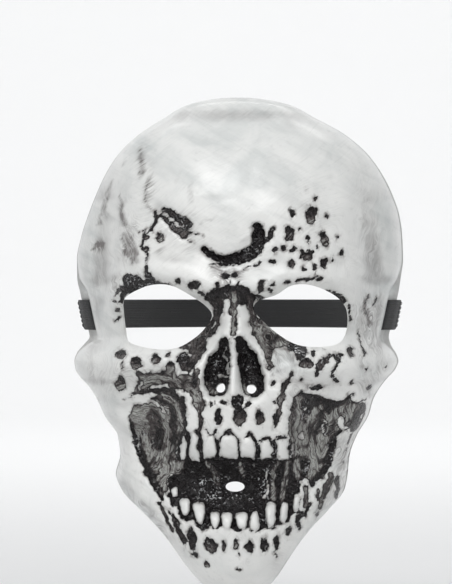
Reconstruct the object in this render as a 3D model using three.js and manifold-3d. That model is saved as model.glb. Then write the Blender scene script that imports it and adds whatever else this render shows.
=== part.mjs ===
// A full-face skull mask: a thin plastic shell, vacuum formed over a skull, and a flat elastic band.
// Millimetres. The mask looks towards -Y, +Z is up and +X is on the viewer's right.
// The origin lies midway between the two strap slots, in the middle of the wearer's head.

import * as THREE from 'three';
import { mergeVertices } from 'three/addons/utils/BufferGeometryUtils.js';
import Module from 'manifold-3d';

const wasm = await Module();
wasm.setup();

// Driving sizes of the shell.
const maskWidth = 165;
const maskHeight = 250;
const maskDepth = 92;
const wall = 1.2;

// The foot of the side wall spreads outwards: its depth for each millimetre that it spreads.
const footSlope = 1.3;

// Holes cut through the shell.
const nostrilDiameter = 4.6;
const mouthSlotWidth = 9.2;
const mouthSlotHeight = 4.8;

// Strap slots and the elastic band.
const slotLength = 18;
const slotWidth = 3.6;
const webWidth = 6;
const bandWidth = 15;
const bandThickness = 1.1;
const bandClearance = 0.6;
const sewnLength = 14;
const headLength = 108;
const headSpread = 1;

// Steps of the mesh across the shell and along the band. The columns crowd towards the nose.
const stepsAcross = 46;
const bandSteps = 40;
const centreCrowding = 0.45;

// Turns rows of numbers into records with the named columns.
function table(columns, rows) {
  return rows.map((row) => Object.fromEntries(columns.map((name, i) => [name, row[i]])));
}

// Level sections of the shell from crown to chin. Level is a share of the height, the half widths
// left and right are shares of the width, deep (rim to front) and rim (how far back) of the depth.
// edge is 2 where the section is half an ellipse and more where its front is flatter. foot is
// how deep the spread foot of the wall is, a share of the web beside the strap slots.
const sections = table(
  ['level', 'left', 'right', 'deep', 'rim', 'edge', 'foot'],
  [
    [0.43, 0.0, 0.0, 0.0, -0.26, 2.0, 0.0],
    [0.417, 0.148, 0.152, 0.17, -0.245, 2.0, 0.1],
    [0.391, 0.221, 0.23, 0.285, -0.21, 2.0, 0.15],
    [0.36, 0.297, 0.318, 0.43, -0.17, 2.0, 0.15],
    [0.32, 0.364, 0.391, 0.58, -0.12, 2.0, 0.15],
    [0.28, 0.406, 0.436, 0.705, -0.065, 2.0, 0.15],
    [0.24, 0.436, 0.467, 0.795, -0.02, 2.0, 0.15],
    [0.2, 0.461, 0.488, 0.855, 0.01, 2.0, 0.15],
    [0.16, 0.482, 0.497, 0.9, 0.035, 2.0, 0.15],
    [0.112, 0.497, 0.5, 0.93, 0.055, 2.0, 0.15],
    [0.076, 0.496, 0.493, 0.925, 0.045, 2.0, 0.35],
    [0.046, 0.485, 0.485, 0.88, 0.0, 2.0, 1.0],
    [0.023, 0.4775, 0.4775, 0.86, 0.0, 2.0, 1.0],
    [0.0, 0.47, 0.47, 0.855, 0.0, 2.0, 1.0],
    [-0.023, 0.4625, 0.4625, 0.855, 0.0, 2.0, 1.0],
    [-0.044, 0.4557, 0.4557, 0.86, 0.0, 2.0, 1.0],
    [-0.06, 0.474, 0.462, 0.86, 0.0, 2.0, 0.45],
    [-0.076, 0.494, 0.477, 0.86, 0.0, 2.0, 0.2],
    [-0.092, 0.502, 0.485, 0.86, 0.0, 2.0, 0.15],
    [-0.108, 0.499, 0.476, 0.86, 0.0, 2.0, 0.15],
    [-0.126, 0.483, 0.452, 0.855, -0.005, 2.0, 0.15],
    [-0.144, 0.457, 0.43, 0.85, -0.015, 2.1, 0.15],
    [-0.168, 0.433, 0.409, 0.84, -0.025, 2.1, 0.15],
    [-0.2, 0.409, 0.394, 0.815, -0.05, 2.2, 0.15],
    [-0.24, 0.367, 0.358, 0.785, -0.08, 2.2, 0.15],
    [-0.28, 0.358, 0.336, 0.755, -0.11, 2.3, 0.15],
    [-0.316, 0.37, 0.33, 0.725, -0.135, 2.3, 0.15],
    [-0.344, 0.352, 0.321, 0.69, -0.165, 2.4, 0.15],
    [-0.386, 0.285, 0.27, 0.615, -0.225, 2.5, 0.15],
    [-0.419, 0.233, 0.221, 0.55, -0.28, 2.6, 0.15],
    [-0.45, 0.194, 0.182, 0.485, -0.335, 2.7, 0.15],
    [-0.48, 0.159, 0.15, 0.415, -0.395, 2.7, 0.15],
    [-0.51, 0.117, 0.118, 0.315, -0.46, 2.6, 0.1],
    [-0.53, 0.085, 0.088, 0.22, -0.51, 2.4, 0.05],
    [-0.548, 0.0, 0.0, 0.0, -0.57, 2.0, 0.0],
  ],
);

// Rows of the mesh, closer together in the face and where the sheet closes at crown and chin.
const rowBands = table(
  ['from', 'to', 'rows'],
  [
    [-0.548, -0.524, 3],
    [-0.524, -0.42, 6],
    [-0.42, -0.216, 16],
    [-0.216, 0.1, 16],
    [0.1, 0.38, 9],
    [0.38, 0.43, 4],
  ],
);

// Rounded bosses and hollows. x and across are shares of the width, z and up of the height, rise
// of the depth, negative where the sheet is sunk. lean is in degrees, clockwise from the front.
// edge is 2 for a soft mound and more for a flat floor with a firm edge.
const bosses = table(
  ['x', 'z', 'across', 'up', 'lean', 'rise', 'edge'],
  [
    [-0.145, 0.216, 0.158, 0.088, 0, 0.02, 2],
    [0.145, 0.224, 0.158, 0.088, 0, 0.025, 2],
    [-0.406, 0.1, 0.05, 0.136, 6, -0.1, 2],
    [0.412, 0.1, 0.05, 0.136, -6, -0.1, 2],
    [-0.194, -0.004, 0.167, 0.074, 0, -0.1, 4],
    [0.194, 0.0, 0.167, 0.07, 0, -0.1, 4],
    [-0.112, -0.056, 0.05, 0.036, -35, -0.045, 2],
    [0.121, -0.056, 0.05, 0.036, 35, -0.045, 2],
    [-0.052, -0.106, 0.04, 0.05, 14, -0.09, 3],
    [0.048, -0.106, 0.04, 0.05, -14, -0.09, 3],
    [0.0, -0.2, 0.158, 0.08, 0, 0.04, 3],
    [-0.224, -0.24, 0.082, 0.096, -12, -0.12, 2],
    [0.238, -0.236, 0.084, 0.086, 14, -0.12, 2],
    [-0.006, -0.32, 0.172, 0.05, 0, -0.13, 2],
    [0.0, -0.416, 0.164, 0.048, 0, 0.03, 3],
    [0.006, -0.484, 0.103, 0.044, 0, 0.025, 2],
    [-0.279, -0.096, 0.091, 0.032, 0, 0.05, 2],
    [0.291, -0.104, 0.091, 0.032, 0, 0.05, 2],
  ],
);

// Ridges and creases that follow a line across the face. The line's points are [x, z] shares of
// the width and the height, width is a share of the width and rise of the depth.
const ridges = table(
  ['width', 'rise', 'line'],
  [
    [0.036, 0.05, [[-0.34, 0.03], [-0.303, 0.072], [-0.23, 0.082], [-0.152, 0.072], [-0.079, 0.056]]],
    [0.036, 0.05, [[0.079, 0.052], [0.152, 0.068], [0.23, 0.076], [0.297, 0.064], [0.345, 0.024]]],
    [0.036, 0.04, [[0.0, 0.036], [0.0, -0.03]]],
    [0.024, 0.02, [[-0.027, -0.036], [-0.064, -0.068], [-0.091, -0.1], [-0.109, -0.136], [-0.076, -0.16]]],
    [0.024, 0.02, [[0.027, -0.036], [0.058, -0.064], [0.085, -0.1], [0.103, -0.136], [0.073, -0.16]]],
    [0.018, 0.045, [[-0.003, -0.05], [-0.003, -0.15]]],
    [0.05, 0.05, [[-0.206, -0.08], [-0.303, -0.092], [-0.388, -0.098], [-0.473, -0.096]]],
    [0.05, 0.05, [[0.218, -0.096], [0.315, -0.104], [0.4, -0.1], [0.473, -0.088]]],
    [0.036, 0.03, [[-0.382, -0.176], [-0.333, -0.24], [-0.321, -0.304], [-0.279, -0.36], [-0.218, -0.404]]],
    [0.036, 0.03, [[0.376, -0.176], [0.339, -0.232], [0.309, -0.288], [0.291, -0.336], [0.242, -0.38]]],
    [0.03, -0.03, [[-0.085, 0.12], [-0.024, 0.108], [0.036, 0.116], [0.073, 0.156]]],
    [0.03, -0.025, [[-0.218, 0.204], [-0.176, 0.18], [-0.133, 0.16]]],
    [0.024, 0.03, [[-0.152, -0.17], [-0.152, -0.224]]],
    [0.024, 0.03, [[0.145, -0.144], [0.152, -0.224]]],
    [0.021, 0.03, [[-0.315, -0.058], [-0.242, -0.074], [-0.164, -0.078]]],
    [0.021, 0.03, [[0.315, -0.056], [0.255, -0.068], [0.182, -0.07]]],
  ],
);

// Teeth, from the viewer's left to right. x and width are shares of the width, z and tall of the
// height, lean in degrees.
const teethRise = 2.4;
const teeth = table(
  ['x', 'z', 'width', 'tall', 'lean'],
  [
    [-0.142, -0.258, 0.02, 0.042, 0],
    [-0.114, -0.255, 0.029, 0.046, 0],
    [-0.074, -0.253, 0.035, 0.044, 0],
    [-0.018, -0.254, 0.048, 0.046, 0],
    [0.036, -0.256, 0.038, 0.042, 0],
    [0.092, -0.257, 0.03, 0.036, 0],
    [0.138, -0.256, 0.03, 0.048, 0],
    [0.17, -0.26, 0.024, 0.036, 0],
    [-0.152, -0.366, 0.026, 0.032, -10],
    [-0.106, -0.38, 0.03, 0.042, -8],
    [-0.058, -0.394, 0.028, 0.03, 0],
    [-0.024, -0.393, 0.03, 0.032, 0],
    [0.022, -0.391, 0.036, 0.032, 0],
    [0.058, -0.394, 0.026, 0.036, 0],
    [0.106, -0.382, 0.031, 0.046, 6],
    [0.146, -0.378, 0.024, 0.042, 12],
    [0.176, -0.362, 0.02, 0.036, 14],
  ],
);

// Outlines of the two eye holes as [x, z] shares of the width and the height.
const eyeHoleLeft = [
  [-0.333, 0.012], [-0.324, 0.034], [-0.285, 0.05], [-0.236, 0.06], [-0.182, 0.058], [-0.124, 0.038],
  [-0.082, 0.018], [-0.065, 0.0], [-0.088, -0.024], [-0.121, -0.044], [-0.164, -0.06], [-0.212, -0.064],
  [-0.27, -0.059], [-0.317, -0.048], [-0.331, -0.02],
];
const eyeHoleRight = [
  [0.056, 0.012], [0.066, 0.028], [0.121, 0.041], [0.164, 0.058], [0.212, 0.06], [0.267, 0.048],
  [0.309, 0.028], [0.33, 0.0], [0.327, -0.03], [0.3, -0.053], [0.245, -0.059], [0.182, -0.055],
  [0.127, -0.036], [0.079, -0.008],
];
const nostrils = [[-0.04, -0.136], [0.049, -0.138]];
const mouthSlot = [0.0, -0.327];

const clamp = (value, low, high) => Math.min(high, Math.max(low, value));
const smooth = (value) => value * value * (3 - 2 * value);

// Monotone cubic through a column of the sections, read at a level.
function column(name, power) {
  const levels = sections.map((row) => row.level).reverse();
  const values = sections.map((row) => row[name] ** power).reverse();
  const signed = power === 1 ? sections.map((row) => row[name]).reverse() : values;
  const gaps = levels.slice(1).map((level, i) => level - levels[i]);
  const slopes = gaps.map((gap, i) => (signed[i + 1] - signed[i]) / gap);
  const tangents = signed.map((_, i) => {
    if (i === 0) return slopes[0];
    if (i === signed.length - 1) return slopes[i - 1];
    const product = slopes[i - 1] * slopes[i];
    return product <= 0 ? 0 : (2 * product) / (slopes[i - 1] + slopes[i]);
  });
  return (level) => {
    const at = clamp(level, levels[0], levels[levels.length - 1]);
    let i = 0;
    while (i < gaps.length - 1 && at > levels[i + 1]) i++;
    const t = (at - levels[i]) / gaps[i];
    const bend = gaps[i] * t * (1 - t) * ((1 - t) * tangents[i] - t * tangents[i + 1]);
    const value = signed[i] + (signed[i + 1] - signed[i]) * smooth(t) + bend;
    return power === 1 ? value : Math.sqrt(Math.max(0, value));
  };
}
// Half widths and depth close like a dome at crown and chin, so their squares are interpolated.
const leftAt = column('left', 2);
const rightAt = column('right', 2);
const deepAt = column('deep', 2);
const rimAt = column('rim', 1);
const edgeAt = column('edge', 1);
const footAt = column('foot', 1);

const crown = sections[0].level * maskHeight;
const chin = sections[sections.length - 1].level * maskHeight;
const halfWidth = (z, side) => maskWidth * (side < 0 ? leftAt(z / maskHeight) : rightAt(z / maskHeight));
const rimY = (z) => maskDepth * rimAt(z / maskHeight);
const footSpread = (z) => (webWidth * footAt(z / maskHeight)) / footSlope;

// Distance from a point to a polyline.
function distanceToLine(x, z, points) {
  let nearest = Infinity;
  for (let i = 0; i + 1 < points.length; i++) {
    const [ax, az] = points[i];
    const [bx, bz] = points[i + 1];
    const along = ((x - ax) * (bx - ax) + (z - az) * (bz - az)) / ((bx - ax) ** 2 + (bz - az) ** 2);
    const t = clamp(along, 0, 1);
    nearest = Math.min(nearest, Math.hypot(x - ax - t * (bx - ax), z - az - t * (bz - az)));
  }
  return nearest;
}

const toFace = ([x, z]) => [x * maskWidth, z * maskHeight];

function mound(x, z, form, edge) {
  const turn = THREE.MathUtils.degToRad(form.lean);
  const dx = x - form.x * maskWidth;
  const dz = z - form.z * maskHeight;
  const across = (dx * Math.cos(turn) - dz * Math.sin(turn)) / (form.across * maskWidth);
  const up = (dx * Math.sin(turn) + dz * Math.cos(turn)) / (form.up * maskHeight);
  return Math.exp(-(Math.hypot(across, up) ** edge));
}

const ridgeLines = ridges.map((ridge) => ({ ...ridge, line: ridge.line.map(toFace) }));
const toothForms = teeth.map((tooth) => ({ ...tooth, across: tooth.width / 2, up: tooth.tall / 2 }));

// How far the sheet stands out of the plain dome at a point of the front view.
function relief(x, z) {
  let out = 0;
  for (const boss of bosses) out += boss.rise * maskDepth * mound(x, z, boss, boss.edge);
  for (const ridge of ridgeLines) {
    const share = distanceToLine(x, z, ridge.line) / (ridge.width * maskWidth);
    out += ridge.rise * maskDepth * Math.exp(-share * share);
  }
  for (const tooth of toothForms) out += teethRise * mound(x, z, tooth, 3);
  return out;
}

// Front surface: at each level a straight foot at either rim and a dome between them, with the
// relief pushed forward. The relief fades out at the foot, so that the outline keeps its width.
function frontY(x, z) {
  const foot = footSpread(z);
  const width = Math.max(halfWidth(z, x) - foot, 1e-6);
  const share = clamp(Math.abs(x) / width, 0, 1);
  const edge = edgeAt(z / maskHeight);
  const dome = (1 - share ** edge) ** (1 / edge);
  const fade = smooth(clamp(dome / 0.35, 0, 1));
  const onFoot = clamp(width + foot - Math.abs(x), 0, foot);
  const domeDepth = maskDepth * deepAt(z / maskHeight) - footSlope * foot;
  return rimY(z) - footSlope * onFoot - domeDepth * dome - relief(x, z) * fade;
}

// Where the side wall stands at a given distance back, by halving the interval.
function sideX(y, z, side) {
  const outer = halfWidth(z, side);
  let near = outer * 0.8;
  let far = outer;
  for (let i = 0; i < 30; i++) {
    const middle = (near + far) / 2;
    if (frontY(side * middle, z) < y) near = middle;
    else far = middle;
  }
  return (near + far) / 2;
}

function geometryOf(points, triangles) {
  const geometry = new THREE.BufferGeometry();
  geometry.setAttribute('position', new THREE.Float32BufferAttribute(points.flat(), 3));
  geometry.setIndex(triangles.flat());
  return geometry;
}

function solidOf(geometry) {
  const bare = geometry.index ? geometry.toNonIndexed() : geometry.clone();
  const onlyPosition = new THREE.BufferGeometry().setAttribute('position', bare.getAttribute('position'));
  const merged = mergeVertices(onlyPosition, 1e-4);
  const mesh = new wasm.Mesh({
    numProp: 3,
    vertProperties: merged.attributes.position.array,
    triVerts: new Uint32Array(merged.index.array),
  });
  return new wasm.Manifold(mesh);
}

function geometryFrom(solid) {
  const mesh = solid.getMesh();
  const geometry = new THREE.BufferGeometry();
  geometry.setAttribute('position', new THREE.Float32BufferAttribute(mesh.vertProperties, 3));
  geometry.setIndex([...mesh.triVerts]);
  geometry.computeVertexNormals();
  return geometry;
}

const rowLevels = rowBands.flatMap(({ from, to, rows }) =>
  Array.from({ length: rows }, (_, j) => (from + ((to - from) * j) / rows) * maskHeight),
).concat(crown);
const stepsDown = rowLevels.length - 1;

// Where a column of the mesh stands: the first and the last are the rims, the next ones the tops
// of the two feet, and the others are spread over the dome.
function columnX(i, z) {
  const onDome = clamp(i, 1, stepsAcross - 1);
  const t = (2 * (onDome - 1)) / (stepsAcross - 2) - 1;
  const turn = (Math.PI / 2) * ((1 - centreCrowding) * t + centreCrowding * t ** 3);
  return (halfWidth(z, turn) - footSpread(z)) * Math.sin(turn) + footSpread(z) * (i - onDome);
}

// The shell: a grid of points on the front, the same grid moved inwards by the wall, and a strip
// round the rim that joins the two.
function shellSolid() {
  const front = [];
  for (let j = 0; j <= stepsDown; j++) {
    const z = rowLevels[j];
    const row = [];
    for (let i = 0; i <= stepsAcross; i++) {
      const x = columnX(i, z);
      row.push(new THREE.Vector3(x, frontY(x, z), z));
    }
    front.push(row);
  }
  const closed = j => j === 0 || j === stepsDown;
  const inner = front.map((row, j) => row.map((point, i) => {
    if (closed(j)) return point.clone().setZ(point.z + (j === 0 ? wall : -wall));
    const [left, right] = [row[Math.max(0, i - 1)], row[Math.min(stepsAcross, i + 1)]];
    const alongX = right.clone().sub(left);
    const alongZ = front[j + 1][i].clone().sub(front[j - 1][i]);
    const out = alongX.cross(alongZ).normalize();
    if (i === 0 || i === stepsAcross) out.setY(0).normalize();
    return point.clone().addScaledVector(out, -wall);
  }));

  const points = [];
  const number = (grid) => grid.map((row, j) => {
    if (closed(j)) {
      points.push(row[0].toArray());
      return row.map(() => points.length - 1);
    }
    return row.map((point) => points.push(point.toArray()) - 1);
  });
  const outside = number(front);
  const inside = number(inner);
  const triangles = [];
  const quad = (a, b, c, d) => {
    if (a !== b && b !== c && a !== c) triangles.push([a, b, c]);
    if (a !== c && c !== d && a !== d) triangles.push([a, c, d]);
  };
  for (let j = 0; j < stepsDown; j++) {
    for (let i = 0; i < stepsAcross; i++) {
      quad(outside[j][i], outside[j][i + 1], outside[j + 1][i + 1], outside[j + 1][i]);
      quad(inside[j][i], inside[j + 1][i], inside[j + 1][i + 1], inside[j][i + 1]);
    }
    const last = stepsAcross;
    quad(outside[j][last], inside[j][last], inside[j + 1][last], outside[j + 1][last]);
    quad(inside[j][0], outside[j][0], outside[j + 1][0], inside[j + 1][0]);
  }
  return solidOf(geometryOf(points, triangles));
}

// A hole through the face: an outline of the front view, pushed through along Y.
function faceCutter(outline) {
  const shape = new THREE.Shape(outline.map(([x, z]) => new THREE.Vector2(x, z)));
  const cutter = new THREE.ExtrudeGeometry(shape, { depth: 2 * maskDepth, bevelEnabled: false, steps: 1 });
  cutter.rotateX(Math.PI / 2);
  return solidOf(cutter);
}

function smoothOutline(shares) {
  const knots = shares.map(toFace).map(([x, z]) => new THREE.Vector3(x, z, 0));
  const curve = new THREE.CatmullRomCurve3(knots, true, 'centripetal');
  const outlineSteps = 40;
  return curve.getPoints(outlineSteps).slice(0, -1).map((point) => [point.x, point.y]);
}

function ovalOutline([shareX, shareZ], across, up) {
  const sides = 16;
  const [x, z] = toFace([shareX, shareZ]);
  return Array.from({ length: sides }, (_, i) => {
    const turn = (2 * Math.PI * i) / sides;
    return [x + (across / 2) * Math.cos(turn), z + (up / 2) * Math.sin(turn)];
  });
}

// The slot for the band, along the rim and one web inside it, pushed through the side wall.
const slotY = rimY(0) - webWidth - slotWidth / 2;
function slotCutter(side) {
  const round = slotWidth / 2;
  const straight = slotLength / 2 - round;
  const shape = new THREE.Shape();
  shape.absarc(0, straight, round, 0, Math.PI, false);
  shape.absarc(0, -straight, round, Math.PI, 2 * Math.PI, false);
  shape.closePath();
  const reach = maskWidth * 0.3;
  const cutter = new THREE.ExtrudeGeometry(shape, { depth: reach, bevelEnabled: false, curveSegments: 5 });
  cutter.rotateX(Math.PI / 2);
  cutter.rotateZ(Math.PI / 2);
  cutter.translate(side > 0 ? maskWidth * 0.3 : -maskWidth * 0.3 - reach, slotY, 0);
  return solidOf(cutter);
}

function maskShell() {
  let solid = shellSolid();
  const cutters = [
    faceCutter(smoothOutline(eyeHoleLeft)),
    faceCutter(smoothOutline(eyeHoleRight)),
    faceCutter(ovalOutline(mouthSlot, mouthSlotWidth, mouthSlotHeight)),
    ...nostrils.map((place) => faceCutter(ovalOutline(place, nostrilDiameter, nostrilDiameter))),
    slotCutter(1),
    slotCutter(-1),
  ];
  for (const cutter of cutters) solid = solid.subtract(cutter);
  return geometryFrom(solid);
}

// A strip of the band seen from above, pushed up to the band's width.
function stripSolid(outline, hole) {
  const shape = new THREE.Shape(outline);
  if (hole) shape.holes.push(new THREE.Path(hole));
  const strip = new THREE.ExtrudeGeometry(shape, { depth: bandWidth, bevelEnabled: false, steps: 1 });
  strip.translate(0, 0, -bandWidth / 2);
  return solidOf(strip);
}

// The loop end goes round the web. All of it follows from where the side wall stands.
const webFront = rimY(0) - webWidth;
const webBack = rimY(0);
const wallFront = sideX(webFront, 0, 1);
const wallBack = sideX(webBack, 0, 1);
const webDirection = new THREE.Vector2(wallBack - wallFront, webWidth).normalize();
const webOut = new THREE.Vector2(webDirection.y, -webDirection.x);
const webMiddle = new THREE.Vector2(wallFront, webFront).addScaledVector(webOut, -wall / 2);
const loopLength = webWidth + 3;
const loopHalf = wall / 2 + bandClearance;
const upperSide = sideX(webFront, bandWidth / 2, 1);
const lowerSide = sideX(webFront, -bandWidth / 2, 1);
const lean = (upperSide - lowerSide) / bandWidth;

function stadium(half, extra) {
  const turns = 6;
  const points = [];
  for (const [end, from] of [[loopLength + extra, 0], [-extra, Math.PI]]) {
    for (let k = 0; k <= turns; k++) {
      const turn = from + (Math.PI * k) / turns;
      const along = end + half * Math.sin(turn);
      const out = half * Math.cos(turn);
      points.push(webMiddle.clone().addScaledVector(webDirection, along).addScaledVector(webOut, out));
    }
  }
  return points;
}

// Middle line of the single band: from the loop, round the back of the head, to the other loop.
function bandLine() {
  const start = webMiddle.clone().addScaledVector(webDirection, loopLength + loopHalf);
  const reach = start.x + headSpread;
  const turnAt = Math.acos(start.x / reach);
  const centreY = (start.y + headLength * Math.sin(turnAt)) / (1 + Math.sin(turnAt));
  return Array.from({ length: bandSteps + 1 }, (_, i) => {
    const turn = -turnAt + ((Math.PI + 2 * turnAt) * i) / bandSteps;
    const round = reach * Math.cos(turn);
    return new THREE.Vector2(round, centreY + (headLength - centreY) * Math.sin(turn));
  });
}

function strokeOutline(line, thickness) {
  const normals = line.map((_, i) => {
    const before = line[Math.max(0, i - 1)];
    const after = line[Math.min(line.length - 1, i + 1)];
    const along = after.clone().sub(before).normalize();
    return new THREE.Vector2(along.y, -along.x);
  });
  const outer = line.map((point, i) => point.clone().addScaledVector(normals[i], thickness / 2));
  const inner = line.map((point, i) => point.clone().addScaledVector(normals[i], -thickness / 2));
  return [...outer, ...inner.reverse()];
}

function elasticBand() {
  const mirrored = (points) => points.map((point) => new THREE.Vector2(-point.x, point.y)).reverse();
  const ring = [stadium(loopHalf + bandThickness, 0), stadium(loopHalf, 0).reverse()];
  const line = bandLine();
  const sewnSteps = Math.max(2, Math.round((bandSteps * sewnLength) / (Math.PI * headLength * 0.82)));
  const sewn = strokeOutline(line.slice(0, sewnSteps + 1), 2 * bandThickness);
  let solid = stripSolid(strokeOutline(line, bandThickness));
  for (const part of [
    stripSolid(ring[0], ring[1]),
    stripSolid(mirrored(ring[0]), mirrored(ring[1])),
    stripSolid(sewn),
    stripSolid(mirrored(sewn)),
  ]) solid = solid.add(part);
  // Near the slots the band leans with the side wall, and it stands upright behind the head.
  const geometry = geometryFrom(solid);
  const place = geometry.getAttribute('position');
  for (let i = 0; i < place.count; i++) {
    const share = clamp(place.getY(i) / (0.6 * headLength), 0, 1);
    const shift = lean * (1 - smooth(share)) * place.getZ(i);
    place.setX(i, place.getX(i) + Math.sign(place.getX(i)) * shift);
  }
  geometry.computeVertexNormals();
  return geometry;
}

const whitePlastic = new THREE.MeshStandardMaterial({ color: 0xd9dad6, roughness: 0.3, metalness: 0 });
const blackElastic = new THREE.MeshStandardMaterial({ color: 0x17171a, roughness: 0.85, metalness: 0 });

const mask = new THREE.Group();
const shell = new THREE.Mesh(maskShell(), whitePlastic);
shell.name = 'mask_shell';
const band = new THREE.Mesh(elasticBand(), blackElastic);
band.name = 'elastic_band';
mask.add(shell, band);

export default mask;
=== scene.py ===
"""Looks of a full-face skull mask: a glossy white formed sheet with a black wash in its hollows,
and a flat woven elastic strap. The tables of the plain form hold shares of the mask's sizes, and
the tables of details hold millimetres in the plane that PLANE gives."""

import math

import bpy
import numpy as np
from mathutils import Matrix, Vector


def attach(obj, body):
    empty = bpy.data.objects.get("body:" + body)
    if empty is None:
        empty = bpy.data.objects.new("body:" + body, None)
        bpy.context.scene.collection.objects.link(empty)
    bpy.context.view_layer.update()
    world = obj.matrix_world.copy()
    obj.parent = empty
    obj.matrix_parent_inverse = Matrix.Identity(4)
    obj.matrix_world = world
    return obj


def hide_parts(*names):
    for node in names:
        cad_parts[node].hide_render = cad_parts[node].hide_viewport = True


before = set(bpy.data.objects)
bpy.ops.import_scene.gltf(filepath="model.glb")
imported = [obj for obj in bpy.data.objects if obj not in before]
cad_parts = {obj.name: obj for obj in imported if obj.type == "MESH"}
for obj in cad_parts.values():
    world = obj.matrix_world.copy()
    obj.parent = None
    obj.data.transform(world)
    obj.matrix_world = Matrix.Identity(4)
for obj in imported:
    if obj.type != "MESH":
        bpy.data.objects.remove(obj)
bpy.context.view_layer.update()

bl_info = {
    "name": "Skull Mask",
    "version": (1, 0, 0),
    "blender": (4, 5, 0),
    "location": "3D View > Sidebar > Skull Mask",
    "description": "Builds a formed and painted skull mask with its elastic strap",
    "category": "Add Mesh",
}

MM = 0.001


def table(columns, rows):
    """Turns rows of values into a list of records with the named columns."""
    return [dict(zip(columns, row)) for row in rows]


# The plain form of the sheet, level by level from crown to chin, in shares of the mask's height,
# width (left and right) and depth (deep and rim). Edge is the power of the dome's curve, and foot
# how much of the side wall spreads outwards as it does at the strap's web.
SECTIONS = table(
    ("level", "left", "right", "deep", "rim", "edge", "foot"),
    [
        (0.43, 0.0, 0.0, 0.0, -0.26, 2.0, 0.0),
        (0.417, 0.148, 0.152, 0.17, -0.245, 2.0, 0.1),
        (0.391, 0.221, 0.23, 0.285, -0.21, 2.0, 0.15),
        (0.36, 0.297, 0.318, 0.43, -0.17, 2.0, 0.15),
        (0.32, 0.364, 0.391, 0.58, -0.12, 2.0, 0.15),
        (0.28, 0.406, 0.436, 0.705, -0.065, 2.0, 0.15),
        (0.24, 0.436, 0.467, 0.795, -0.02, 2.0, 0.15),
        (0.2, 0.461, 0.488, 0.855, 0.01, 2.0, 0.15),
        (0.16, 0.482, 0.497, 0.9, 0.035, 2.0, 0.15),
        (0.112, 0.497, 0.5, 0.93, 0.055, 2.0, 0.15),
        (0.076, 0.496, 0.493, 0.925, 0.045, 2.0, 0.35),
        (0.046, 0.485, 0.485, 0.88, 0.0, 2.0, 1.0),
        (0.023, 0.4775, 0.4775, 0.86, 0.0, 2.0, 1.0),
        (0.0, 0.47, 0.47, 0.855, 0.0, 2.0, 1.0),
        (-0.023, 0.4625, 0.4625, 0.855, 0.0, 2.0, 1.0),
        (-0.044, 0.4557, 0.4557, 0.86, 0.0, 2.0, 1.0),
        (-0.06, 0.474, 0.462, 0.86, 0.0, 2.0, 0.45),
        (-0.076, 0.494, 0.477, 0.86, 0.0, 2.0, 0.2),
        (-0.092, 0.502, 0.485, 0.86, 0.0, 2.0, 0.15),
        (-0.108, 0.499, 0.476, 0.86, 0.0, 2.0, 0.15),
        (-0.126, 0.483, 0.452, 0.855, -0.005, 2.0, 0.15),
        (-0.144, 0.457, 0.43, 0.85, -0.015, 2.1, 0.15),
        (-0.168, 0.433, 0.409, 0.84, -0.025, 2.1, 0.15),
        (-0.2, 0.409, 0.394, 0.815, -0.05, 2.2, 0.15),
        (-0.24, 0.367, 0.358, 0.785, -0.08, 2.2, 0.15),
        (-0.28, 0.358, 0.336, 0.755, -0.11, 2.3, 0.15),
        (-0.316, 0.37, 0.33, 0.725, -0.135, 2.3, 0.15),
        (-0.344, 0.352, 0.321, 0.69, -0.165, 2.4, 0.15),
        (-0.386, 0.285, 0.27, 0.615, -0.225, 2.5, 0.15),
        (-0.419, 0.233, 0.221, 0.55, -0.28, 2.6, 0.15),
        (-0.45, 0.194, 0.182, 0.485, -0.335, 2.7, 0.15),
        (-0.48, 0.159, 0.15, 0.415, -0.395, 2.7, 0.15),
        (-0.51, 0.117, 0.118, 0.315, -0.46, 2.6, 0.1),
        (-0.53, 0.085, 0.088, 0.22, -0.51, 2.4, 0.05),
        (-0.548, 0.0, 0.0, 0.0, -0.57, 2.0, 0.0),
    ],
)

# Mounds and hollows of the plain form: middle, half sizes, lean in degrees, rise as a share of the
# depth, and edge, which is 2 for a soft mound and more for a firm edge.
BOSSES = table(
    ("x", "z", "across", "up", "lean", "rise", "edge"),
    [
        (-0.145, 0.216, 0.158, 0.088, 0, 0.02, 2),
        (0.145, 0.224, 0.158, 0.088, 0, 0.025, 2),
        (-0.406, 0.1, 0.05, 0.136, 6, -0.1, 2),
        (0.412, 0.1, 0.05, 0.136, -6, -0.1, 2),
        (-0.194, -0.004, 0.167, 0.074, 0, -0.1, 4),
        (0.194, 0.0, 0.167, 0.07, 0, -0.1, 4),
        (-0.112, -0.056, 0.05, 0.036, -35, -0.045, 2),
        (0.121, -0.056, 0.05, 0.036, 35, -0.045, 2),
        (-0.052, -0.106, 0.04, 0.05, 14, -0.09, 3),
        (0.048, -0.106, 0.04, 0.05, -14, -0.09, 3),
        (0.0, -0.2, 0.158, 0.08, 0, 0.04, 3),
        (-0.224, -0.24, 0.082, 0.096, -12, -0.12, 2),
        (0.238, -0.236, 0.084, 0.086, 14, -0.12, 2),
        (-0.006, -0.32, 0.172, 0.05, 0, -0.13, 2),
        (0.0, -0.416, 0.164, 0.048, 0, 0.03, 3),
        (0.006, -0.484, 0.103, 0.044, 0, 0.025, 2),
        (-0.279, -0.096, 0.091, 0.032, 0, 0.05, 2),
        (0.291, -0.104, 0.091, 0.032, 0, 0.05, 2),
    ],
)

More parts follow.
